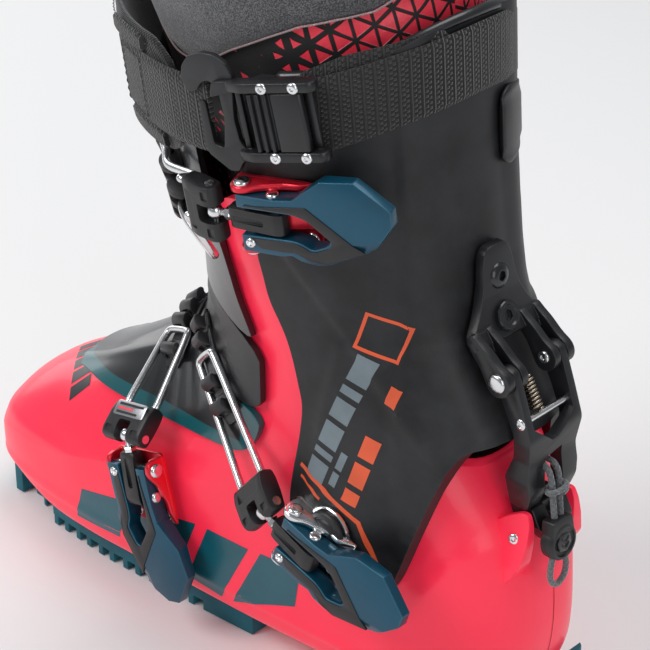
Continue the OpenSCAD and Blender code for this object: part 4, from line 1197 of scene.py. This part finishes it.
SHELL_BLOCKS = [[(-79, 25.5), (-50, 27), (-41, 50), (-74, 43)], [(-43, 27), (-13, 26), (-1, 56.5), (-34, 50.5)],
                [(-7, 25.5), (13, 23.5), (30, 57), (6, 57)], [(20, 24.5), (57, 40), (60, 60), (37, 58)]]
TOE_RUNS = [(0, .17), (.21, .38), (.42, .59), (.63, .8), (.84, 1)]
GREY_RUNS = [(0, .16), (.2, .25), (.29, .47), (.51, .66), (.7, .76), (.8, 1)]
ORANGE_RUNS = [(0, .13), (.19, .42), (.48, .7)]
decal("shell_blocks", SHELL_BLOCKS, PRINT_TEAL, shell, "shell", "petrol_alu")
decal("shell_blocks_medial", SHELL_BLOCKS, PRINT_TEAL, shell, "shell", "petrol_alu", "-y")
decal("toe_band", bars((-125.5, -0.5), (-94, -35), 10, TOE_RUNS), PRINT_DARK, shell, "shell", "black_plastic", "z")
decal("parting_line", [[(2, 36), (2, 84), (2.5, 84), (2.5, 36)]], PRINT_RED, shell, "shell", "pink_plastic", "x", 2.5)
for name, quads, mat in (
        ("cuff_square", stripe([(91, 182), (94, 196), (109, 191), (107, 178)], 1.3, True), PRINT_ORANGE),
        ("cuff_blocks_grey", bars((75, 117), (97, 178), 9, GREY_RUNS)
         + bars((84, 117), (90, 134), 3.2, [(0, .4), (.5, 1)]), PRINT_GREY),
        ("cuff_blocks_orange", bars((92.5, 112), (106, 158), 7, ORANGE_RUNS)
         + bars((107, 160), (109, 168), 5, [(0, 1)]), PRINT_ORANGE),
        ("cuff_lines", stripe([(67, 120), (84, 112), (98, 105), (107, 86)], 2.2)
         + stripe([(67, 114.5), (79, 109)], 1.6), PRINT_ORANGE)):
    decal(name, quads, mat, cuff, "cuff", "black_plastic")


# ------------------------------------------------------------------ liner
SEAM_ROWS, OUTER_ROWS = 35, 67  # rows of faces up to the seam, and up to the top of the rim
ROLL = 3.4  # height of the rolled rim
UV_RADIUS = 62  # of the round the lattice is unrolled from
# angle from the front, and the seam's height there
SEAM = ([30, 45, 52, 59, 63, 67, 77, 90, 97, 112, 123, 136, 148, 155, 180],
        [340, 306, 293, 283.5, 280, 279, 279.5, 286, 291, 300, 306, 310, 313, 317, 320])


def liner_heights(t):
    """heights of the liner's lower edge, of the seam under its felt collar, and of its rim"""
    rim = float(np.interp(leg(320, t, 0, LINER)[0], [-100, -20, 120], [318, 330, 346]))
    low = float(np.interp(leg(140, t, 0, LINER)[0], [-100, 85, 86], [162, 129.6, 129.4]))
    return low, float(np.interp(abs(t - 180), *SEAM)), rim


t_all = np.arange(0, 360, 1.5)
rings = []
for t in t_all:
    low, seam, rim = liner_heights(t)
    seam, base = min(seam, rim - 6), rim - ROLL
    edge = math.exp(-((abs(t - 180) - 40) / 2.0) ** 2)  # edge of the liner's tongue
    pts = []
    for z in [*np.linspace(low, seam, SEAM_ROWS + 1), *np.linspace(seam, base, 21)[1:]]:
        puff = 1.4 * sstep(z, seam, seam + 7) * sstep(rim + 4 - z, 0, 7) if z > seam else 0.175 * math.sin(z / 7.0)
        groove = -1.1 * math.exp(-((z - seam) / 1.1) ** 2)
        wave = 0.35 * math.sin(0.11 * t + 0.05 * z) * math.sin(0.07 * z + 0.02 * t) * sstep(z, 255, 275)
        pts.append(leg(z, t, float(puff + groove + wave - 1.3 * edge) - 0.5, LINER))
    for a in np.linspace(0, math.pi, 13)[1:-1]:
        pts.append(leg(base + 4.1 * math.sin(a) - 1.6 * edge, t, 4.2 * math.cos(a) - 3.3 - 0.4 * edge, LINER))
    for k in np.linspace(1, 0, 30):
        z = low + (base - low) * k
        quilt = 0.24 * math.sin((z - 200) / 9.0) * sstep(z, 230, 300)
        pts.append(leg(z, t, -7.2 + 1.0 * sstep(low + 14 - z, 0, 14) + quilt + 0.9 * edge, LINER))
    rings.append(pts)
rings = np.array(rings)
n_t, n_p = rings.shape[:2]
faces = [(i * n_p + j, i * n_p + (j + 1) % n_p, (i + 1) % n_t * n_p + (j + 1) % n_p, (i + 1) % n_t * n_p + j)
         for i in range(n_t) for j in range(n_p)]
liner = piece("liner_collar", rings.reshape(-1, 3), faces, FELT, 180)
liner.data.materials.append(LATTICE.m)
liner.data.materials.append(INSIDE.m)
layer = liner.data.uv_layers.new(name="UVMap")
for poly in liner.data.polygons:
    places = [divmod(v, n_p) for v in poly.vertices]
    turns, js = zip(*places)
    wrap = max(turns) - min(turns) > 5
    for corner, (i, j) in zip(poly.loop_indices, places):
        a = math.radians(t_all[i]) + (2 * math.pi if wrap and i < 5 else 0)
        layer.data[corner].uv = (a * UV_RADIUS * MM, float(rings[i, j, 2]) * MM)
    row = sum(js) / 4 if max(js) - min(js) < 5 else n_p
    poly.material_index = 1 if row < SEAM_ROWS else 2 if row > OUTER_ROWS else 0
on(liner, "liner_foam", "liner_shaft")

piping = []
for t in [*np.arange(222, 360, 2.0), *np.arange(0, 139, 2.0)]:
    _, seam, rim = liner_heights(t)
    piping.append(leg(min(seam, rim - 4), t, -0.25, LINER))
done(tube("liner_piping", piping, 0.42, PIPING, 8), BODY["liner_shaft"], "liner_foam")
# pull loop at the back of the collar
loop = [(leg(318, 0, 1.2, LINER), X)]
for a in np.linspace(0, math.pi, 13):
    p = leg(331, 0, 1.6 - 11 * (1 - math.cos(a)) / 2, LINER) + np.array([0, 0, 13 * math.sin(a)])
    loop.append((p, (math.cos(a), 0, math.sin(a))))
loop.append((leg(322, 0, -9.8, LINER), (-1, 0, 0)))
done(strip("liner_pull_loop", loop, 9, 1.1, WEB, Y, 7), BODY["liner_shaft"], "webbing")

LINER_SIDE = [(-170, 30), (170, 30), (170, 100), (140, 124), (60, 126.5), (-60, 126.5), (-170, 60)]
inner = foot_loft("liner_foot_raw", -5.2, 0.8, LAST, 70, 90, None, False, INSIDE)
trim(inner, foot_loft("t", -11.7, 1.2, LAST + 0.3, 60, 72), LINER_SIDE, "liner_lower")
on(inner, "liner_foam", "liner_foot")


# ------------------------------------------------------------------ power strap
def strap_band(t):
    """lowest and highest z of the strap at angle t: it rises towards the back"""
    x = 28 + 80 * math.cos(math.radians(t))  # of the leg's skin there
    low = 240 + max(0.0, x - 20) * 0.30 + (max(0.0, x - 20) / 90) ** 2 * 14
    return low, low + 31 - max(0.0, x - 60) * 0.08


def pad_band(t):
    low, high = strap_band(t)
    return low + 4.5, high + 20


def outward(z, t, off):
    return leg(z, t, off + 1) - leg(z, t, off)


def web_path(turns, band, off, out_at):
    """middle line with outward directions, width directions and half widths of a strap on the leg; at an angle
    band gives its lowest and highest z, off its distance from the skin, out_at the height of the outward direction"""
    path, ups, halves = [], [], []
    for t in turns:
        (z0, z1), o = band(t), off(t)
        low, high = leg(z0, t, o), leg(z1, t, o)
        path.append(((low + high) / 2, outward(out_at(t), t, o)))
        ups.append(high - low)
        halves.append(float(np.linalg.norm(high - low)) / 2)
    return path, ups, halves


def strap_low(t):
    return strap_band(t)[0]


def along(ts, values):
    return lambda t: float(np.interp(t, ts, values))


def tail_band(t):
    return [z + along([-60, -45, -12], [2.5, 5.0, 2.0])(t) for z in strap_band(t)]


strap_off = along([-66, -20, 0, 60, 100, 118], [2.3, 2.2, 0.7, 0.6, 2.5, 5.4])
path, ups, halves = web_path(np.linspace(-66, 118, 93), strap_band, strap_off, strap_low)
on(strip("power_strap_web", path, halves, 1.9, WEB, ups, 15), "webbing", "power_strap")
path, ups, halves = web_path(np.linspace(-60, -12, 25), tail_band, lambda t: 0.4, strap_low)
done(strip("power_strap_tail", path, halves, 1.6, WEB, ups, 13), "cuff", "webbing")

# padded front of the strap
PAD_FROM, PAD_TO, PAD_BULGE = 110, 262, 186


def pad_flare(z, high, t):
    return 2.2 * float(sstep(z, high - 16, high) * sstep(abs(t - PAD_BULGE), 80, 30))


rings, uv = [], []
for t in np.linspace(PAD_FROM, PAD_TO, 90):
    k = min(1.0, math.sqrt(max(min(t - PAD_FROM, PAD_TO - t), 0.02) / 9.0))
    low, high = pad_band(t)
    c, h = (low + high) / 2, (high - low) / 2 * (0.55 + 0.45 * k)
    ring = []
    for a in 2 * math.pi * np.arange(40) / 40:
        side = spow(math.sin(a), 0.8)
        z = c + h * spow(math.cos(a), 0.42)
        crown = 0.5 * math.cos(math.radians(90 * min(1, abs(z - c) / h)))
        o = 4.0 + pad_flare(z, high, t) + (2.7 + crown) * side * (0.5 + 0.5 * k)
        if side > 0:  # sewn channel inside the edge
            o -= 0.75 * math.exp(-((h - abs(z - c) - 3.6) / 0.8) ** 2)
        ring.append(leg(z, t, o))
        uv.append((math.radians(t) * 66, z))
    rings.append(ring)
pad = loft("strap_pad_neoprene", rings, NEO, 80)
set_uv(pad, uv)
on(pad, "liner_foam", "strap_pad")


def pad_out(t, z):
    """how far the pad's face stands off the leg"""
    return 7.1 + pad_flare(z, pad_band(t)[1], t)


for name, side in (("pad_stitch_upper", 1), ("pad_stitch_lower", 0)):
    pts, outs = [], []
    for t in np.linspace(122, 254, 70):
        z = pad_band(t)[side] + (-3.6 if side else 3.6)
        o = pad_out(t, z) - 0.25
        pts.append(leg(z, t, o))
        outs.append(outward(z, t, o))
    done(stitches(name, pts, outs, THREAD_GREY, 2.4, 1.0), "cuff", "liner_foam")


def pad_block(t0, t1, z0, z1, mat):
    """plain printed block; heights are from the strap's lower edge"""
    grid = [[(t, z + strap_low(t)) for z in np.linspace(z0, z1, 10)] for t in np.linspace(t0, t1, 10)]
    return patch("t", [[leg(z, t, pad_out(t, z) + 0.42) for t, z in row] for row in grid], mat)


for name, mat, blocks in (
        ("pad_marks_red", PRINT_PINK,
         ((196, 211, 20, 25), (196, 211, 33, 38), (196, 199, 25, 33), (208, 211, 25, 33))),
        ("pad_marks_grey", PRINT_PALE, ((214, 222, 13, 16), (215, 222, 9.5, 11)))):
    done(merge(name, [pad_block(*b, mat) for b in blocks]), "cuff", "liner_foam")

# sewn webbing that ends in the hook's loop, and the tapes over and under it
web_off = along([233, 240, 262, 270, 275.5], [6.9, 7.0, 7.0, 5.8, 4.6])
path, ups, _ = web_path(np.linspace(233, 275.5, 30), lambda t: (253.5, 284.5), web_off, lambda t: 268)
done(strip("pad_webbing", path, 15.0, 2.1, WEB, ups, 13, False), "cuff", "webbing")
for name, z0, z1, end in (("pad_tape_upper", 284.0, 291.5, 252), ("pad_tape_lower", 247.0, 254.0, 256)):
    path, ups, _ = web_path(np.linspace(234, end, 14), lambda t: (z0, z1),
                            lambda t: pad_out(t, (z0 + z1) / 2) - 0.1, lambda t: z0)
    done(strip(name, path, 3.9, 2.0, WEB, ups, 7), "cuff", "webbing")
pts, outs = [], []
corners = np.array([(237, 257), (237, 281), (250, 281), (250, 257), (237, 257)], float)
for a, b in zip(corners[:-1], corners[1:]):
    for f in np.linspace(0, 1, 12)[:-1]:
        t, z = a + (b - a) * f
        pts.append(leg(z, t, 9.15))
        outs.append(outward(z, t, 9.15))
done(stitches("pad_box_stitch", pts, outs, THREAD_DARK), "cuff", "webbing")

# ------------------------------------------------------------------ hook and cam buckle
HOOK = [(-15, 18), (-14, 22.5), (-10.5, 26.5), (-4.5, 28.5), (1.5, 28), (6.5, 25), (9, 20), (7.6, 10), (6.9, 3),
        (8, -6), (11.5, -9.5), (11, -12.5), (8, -14.3), (5.5, -18.3), (1.5, -18.6), (-3, -15.5), (-7.5, -12.6),
        (-8.3, -9), (-8.3, 9), (-5.6, 9), (-4.4, -8.2), (0.2, -9.5), (2.4, 2), (1.8, 12), (0.2, 16.2), (-3, 17.6),
        (-6.5, 16), (-8.6, 12.8), (-13.5, 12.2)]
hook = slab(HOOK, 1.4, 0, 2.7, SATIN, 0.55, 3, "strap_hook_plate", 3)
on(put(hook, place4((42.5, -68, 268), rot((92, -8, 10)))), "black_plastic", "strap_hook")

at_cam = place4((66.5, -62.6, 275.5), rot((92, -11, 19)))
CAM_SIDE = [(-18, -1.4), (17.5, -1.4), (19, 0), (19, 3.6), (17, 5.6), (-12, 5.6), (-18.5, 3.2)]
parts = [side_plate("t", CAM_SIDE, y - 2.0, y + 2.0, SATIN, 1.6, 0.7) for y in (-13.9, 13.9)]
parts += [bevel(prism("t", rect(x0, -14, x1, 14), -1, 1.4, SATIN), 0.4) for x0, x1 in ((-16, -13.8), (12.8, 16))]
parts.append(slab([(-26, 9.6), (-15, 11.9), (-15, 15.8), (-24, 15.8)], 1.2, 0.4, 3.0, SATIN, 0.4))
on(put(merge("cam_frame_body", parts), at_cam), "charcoal_plastic", "cam_frame")
prof = [(-9.2, 1.6), (12.4, 1.6), (13, 2.2), (13, 4.6), (12.2, 5.4), (0.8, 5.4)]
for x in (0.2, -2.9, -6.0):  # gripping teeth
    prof += [(x, 4.2), (x - 0.9, 4.0), (x - 1.5, 5.6), (x - 2.5, 5.9)]
hub = [(0.01, -11.5), (2.2, -11.5), (2.4, -11), (2.4, 11), (2.2, 11.5), (0.01, 11.5)]
parts = [bevel(prism("t", prof + [(-9.6, 4.2)], -11.5, 11.5, SATIN, XZ), 0.3),
         lathe("t", hub, SATIN, 20, frame_at((-8, 0, 0.6), Y))]
on(put(merge("cam_lever_plate", parts), at_cam), "black_plastic", "cam_lever")
parts = [dome((x, y, 5.55), Z, 2.3, 1.1, CHROME, 1.0) for y in (-13.9, 13.9) for x in (-2, 11)]
on(put(merge("cam_screws", parts), at_cam), "steel", "strap_screws")

# rear spoiler under the strap
rings = []
for t in np.linspace(11, 41, 28):
    k = min(1.0, math.sqrt(max(0.03, min(t - 11, 41 - t)) / 6.0))
    low, high = 244.0, strap_low(t) - 2
    c, h = (low + high) / 2, (high - low) / 2 * (0.7 + 0.3 * k)
    ring = []
    for a in 2 * math.pi * np.arange(28) / 28:
        z = c + h * spow(math.cos(a), 0.4)
        crown = (1.5 + 0.35 * math.cos((z - c) * 0.9)) * spow(math.sin(a), 0.6)
        ring.append(leg(z, t, 2.0 + crown * (0.5 + 0.5 * k)))
    rings.append(ring)
on(loft("spoiler_pad", rings, BLACK, 80), "liner_foam", "rear_spoiler")

# ------------------------------------------------------------------ ankle pivots, screws, sole
CAP = [(0.01, -17), (5.9, -17), (5.9, -0.4), (8.6, -0.4), (9.4, 0.4), (9.4, 1.3), (8.9, 1.9), (7.4, 2.2), (7.0, 1.7),
       (6.4, 1.7), (6.0, 2.3), (4.6, 2.9), (0.01, 3.1)]
INNER_CAP = [(0.01, -2.2), (8.5, -2.2), (9, -1.7), (9, -0.4), (0.01, -0.4)]
caps = []
for s in (-1, 1):
    at = frame_at((PIVOT_X, s * 56.6, PIVOT_Z), (0, s, 0))
    caps.append(smooth(hex_socket(lathe("t", CAP, BLACK, 56, at), 2.6, 1.0, 6, at), 35))
    caps.append(lathe("t", INNER_CAP, BLACK, 40, frame_at((PIVOT_X, s * 42, PIVOT_Z), (0, s, 0))))
on(merge("ankle_pivots", caps), "black_plastic", "cuff_pivots")
softened("pivot_bushings", STEEL, 0.3)
softened("sole_toe", TEAL_RUBBER, 0.9, 3, "teal_rubber")
softened("sole_heel", TEAL_RUBBER, 0.9, 3, "teal_rubber")
softened("boot_board", BOARD, 0.8, 2, "charcoal_plastic")
softened("toe_insert", STEEL, 0.4)
softened("heel_insert", STEEL, 0.4)
softened("sole_screws", STEEL, 0.25)
set_screw = dome((149.5, -17.0, 104.6), (0.3, -0.93, 0.2), 2.4, 1.0, CHROME, 1.2)
set_screw.name = "heel_set_screw"
done(set_screw, "shell", "steel")

# ------------------------------------------------------------------ walk mechanism
HINGE_X, HINGE_Z = 140.0, 173.5


def across(o, outline, x0=60, x1=180, op="DIFFERENCE"):
    """cuts a solid with an outline seen from behind"""
    return cut(o, prism("t", outline, x0, x1, None, YZ), op)


def both(name, side, half, behind):
    """solid with one outline seen from the side and another from behind"""
    return across(prism(name, side, -half, half, SATIN, XZ), behind, op="INTERSECT")


PLATE_SIDE = [(116.6, 219), (120.4, 219), (124, 200), (127, 188.6), (130.6, 184), (128.4, 181.6), (123.2, 187),
              (119.6, 200)]
PLATE_BACK = [(-5.4, 219.5), (5.4, 219.5), (8.6, 214), (9.6, 204), (14, 194), (20.6, 186), (20.6, 180), (-20.6, 180),
              (-20.6, 186), (-14, 194), (-9.6, 204), (-8.6, 214)]
EAR = [(126.2, 190), (129.6, 187.4), (134.2, 184.6), (139.4, 180.2), (144.6, 177.6), (146.4, 173.5), (144.8, 169),
       (140, 167), (136.4, 168.6), (134.2, 172.2), (131.4, 177.2), (127.2, 181.4), (123.6, 186)]
EAR_WEB = [(124.6, 189.2), (127.4, 188.4), (131.6, 181.2), (129.6, 179.4)]
parts = [bevel(both("t", PLATE_SIDE, 24, chaikin(PLATE_BACK)), 0.6, 3)]
for s in (-1, 1):
    for y0, y1 in ((16.3, 20.2), (8.2, 11.7)):
        ear = prism("t", chaikin(EAR), *sorted((s * y0, s * y1)), SATIN, XZ)
        parts.append(bevel(bore(ear, 2.2, HINGE_X, HINGE_Z), 0.6, 3))
    parts.append(bevel(prism("t", EAR_WEB, *sorted((s * 8.4, s * 20)), SATIN, XZ), 0.3))
on(merge("walk_bracket_plate", parts), "charcoal_plastic", "walk_bracket")
upper, lower = [(math.sin(math.radians(a)), 0, math.cos(math.radians(a))) for a in (78, 66)]
ring_head = [(0.01, -0.5), (6.0, -0.5), (6.0, 2.0), (5.5, 2.6), (4.4, 2.6), (3.8, 1.8), (0.01, 1.8)]
at = frame_at((126.6, 0, 190.2), lower)
parts = [dome((120.9, 0, 206), upper, 5.6, 3.4, GLOSSY, 2.2),
         smooth(hex_socket(lathe("t", ring_head, GLOSSY, 44, at), 2.5, 0.3, 6, at), 35)]
on(merge("bracket_bolt_heads", parts), "black_plastic", "bracket_bolts")

parts = []
for s in (-1, 1):
    parts += [rod(2.1, 0, 12.2, (HINGE_X, s * 8.3, HINGE_Z), (0, s, 0), CHROME),
              dome((HINGE_X, s * 20.2, HINGE_Z), (0, s, 0), 4.1, 1.5, CHROME),
              dome((HINGE_X, s * 8.1, HINGE_Z), (0, -s, 0), 2.7, 0.9, CHROME, 1.1)]
on(merge("walk_pin_heads", parts), "steel", "walk_pin")

LEVER_SIDE = [(134.4, 172.6), (137.2, 168.4), (141.6, 160), (146.2, 150), (145.6, 141), (142.2, 131), (143.8, 117.2),
              (152.4, 117.2), (154.6, 124), (153.2, 137), (154.6, 150), (150, 163), (146, 173.5), (144.4, 177.6),
              (140, 179), (136, 177.6)]
LEVER_BACK = [(-15.9, 184), (-15.9, 148), (-14.4, 139), (-15.4, 130), (-13.2, 116.4), (13.2, 116.4), (15.4, 130),
              (14.4, 139), (15.9, 148), (15.9, 184)]
FORK_GAP = [(-12.2, 200), (-12.2, 154.5), (-1.6, 146), (1.6, 146), (12.2, 154.5), (12.2, 200)]
WINDOW = [(-4.2, 138.6), (5.4, 140.4), (6.2, 126), (6.6, 112), (-6.2, 112), (-5.4, 126)]
HOLLOW = [(100, 200), (148.4, 200), (149.4, 152), (148.8, 139), (148.6, 100), (100, 100)]
lever = both("walk_lever_body", rounded(LEVER_SIDE, 1.6, 3), 17, rounded(LEVER_BACK, 1.0, 3))
across(lever, FORK_GAP)
across(lever, WINDOW)
cut(lever, prism("t", HOLLOW, -12.2, 12.2, None, XZ))
on(bevel(bore(lever, 2.3, HINGE_X, HINGE_Z), 0.7, 3), "black_plastic", "walk_lever")
parts = [rod(1.35, -12.4, 12.4, (149, 0, 157), Y, CHROME, 20)]
parts += [dome((149, s * 15.85, 157), (0, s, 0), 2.5, 0.8, CHROME, 1.1) for s in (-1, 1)]
on(merge("walk_lever_rod", parts), "steel", "lever_rod")
a, b = np.array([141.6, -5.0, 171.4]), np.array([148.2, -5.0, 159.2])
ax = unit(b - a)
e1 = unit(np.cross(ax, Y))
e2 = np.cross(ax, e1)
turns = 2 * math.pi * 9 * np.arange(201) / 200
coil = [a + (b - a) * k / 200 + 2.5 * (e1 * math.cos(q) + e2 * math.sin(q)) for k, q in enumerate(turns)]
coil += [b + ax * 0.6 + e1 * 1.6, b + ax * 1.6 + e1 * 0.2 + np.array([0, 0.6, 0])]
on(tube("walk_lever_coil", coil, 0.55, SPRING, 10, uv=False), "steel", "lever_spring")

# raised shoulders of the shell on either side of the catch block
SHOULDER = [(124, 88), (130, 100), (138, 107.5), (146, 113.6), (151, 116.6), (154.2, 116.6), (155.8, 112),
            (156.2, 104), (155, 94), (149, 84)]
SHOULDER_BACK = [(12.6, 80), (12.6, 118), (14.6, 118), (15.6, 112), (17.6, 103), (20.5, 92), (22, 80)]
parts = []
for s in (-1, 1):
    o = prism("t", rounded(SHOULDER, 1.5), -30, 30, PINK, XZ)
    parts.append(bevel(across(o, [(s * y, z) for y, z in SHOULDER_BACK], 110, 170, "INTERSECT"), 1.0, 4))
done(merge("shell_catch_lugs", parts), "shell", "pink_plastic", "lower_shell")
CATCH_SIDE = [(140.6, 116.4), (152.6, 116.4), (157.4, 108), (154.6, 99), (149.8, 98), (147.6, 103.4), (143.4, 110)]
CATCH_BACK = [(-10.4, 118), (10.4, 118), (10.4, 109), (1.8, 97.6), (-1.8, 97.6), (-10.4, 109)]
catch = both("catch_block_body", CATCH_SIDE, 12, CATCH_BACK)
across(catch, [(-3.2, 118), (3.2, 118), (2.4, 110), (-2.4, 110)], 151.6)
on(bevel(catch, 0.7, 3), "black_plastic", "catch_block")

# ------------------------------------------------------------------ pull cord and its lock
CORD_DIAMETER = 2.6
CORD_PTS = [(151, -4.6, 135.2), (154, -4.9, 135), (156.6, -5.2, 132.4), (158.2, -5.6, 127.5), (159.6, -6.2, 121.5),
            (161.2, -7, 115.5), (162.4, -7.6, 109), (163, -8.2, 103), (163.4, -9.8, 97), (163.8, -11, 92),
            (164, -10.2, 87.4), (164, -6.4, 84.6), (164, -2.2, 87), (163.8, -1, 92), (163.4, -2, 97),
            (163, -3.4, 103), (162.4, -3.6, 109), (161.2, -3, 115.5), (159.6, -2, 121.5), (158.2, -1, 127.5),
            (156.6, -0.4, 132.4), (154, -0.2, 135), (151, 0, 135.2)]
run = spline(CORD_PTS, 6)
cord = on(tube("pull_cord_braid", run, CORD_DIAMETER / 2, CORD, 16), "grey_cord", "pull_cord")
turns = []
for k in range(41):
    a = 2 * math.pi * 1.6 * k / 40
    turns.append((158.9 + 2.7 * math.cos(a), -3.3 + 4.9 * math.sin(a), 125.0 + 2.6 * k / 40 + 0.5 * math.cos(a)))
knot = done(tube("pull_cord_knot", turns, 1.2, CORD, 14), BODY["pull_cord"], "grey_cord")
LOCK = [(0.01, -3.5), (6.9, -3.5), (7.9, -2.6), (8.1, 0), (7.9, 2.4), (7.2, 3.3), (6.3, 3.5), (5.9, 2.6), (5.2, 2.3),
        (0.01, 2.3)]
CHEVRON = [(-2.6, -2.2), (-1.4, -2.2), (0.6, 0), (-1.4, 2.2), (-2.6, 2.2), (-0.6, 0)]
parts = [lathe("t", LOCK, BLACK, 56), bevel(prism("t", hexagon(4.7, 15), 1.8, 3.6, GLOSSY), 0.8),
         slab([(-10.5, -5.8), (-3, -6.6), (-3, 6.6), (-10.5, 5.8)], 1.2, -3.1, 3.1, BLACK, 0.7)]
parts += [bevel(prism("t", [(x + d, y) for x, y in CHEVRON], 3.4, 4.1, BLACK), 0.2, 1) for d in (0, 2.6)]
lock = put(merge("cord_lock_body", parts), place4((162.8, -5.7, 105), rot((0, 84, 0))))
on(lock, "black_plastic", "cord_lock")
run = np.array(run) * MM

# ------------------------------------------------------------------ floor
FLOOR = Mat("floor", 0.9, spec=0.1)
FLOOR.colour((0.84, 0.84, 0.84))
FLOOR_HALF = 9000
corners = [(x, y, -0.5) for x, y in rect(-FLOOR_HALF, -FLOOR_HALF, FLOOR_HALF, FLOOR_HALF)]
piece("floor", corners, [(0, 1, 2, 3)], FLOOR)
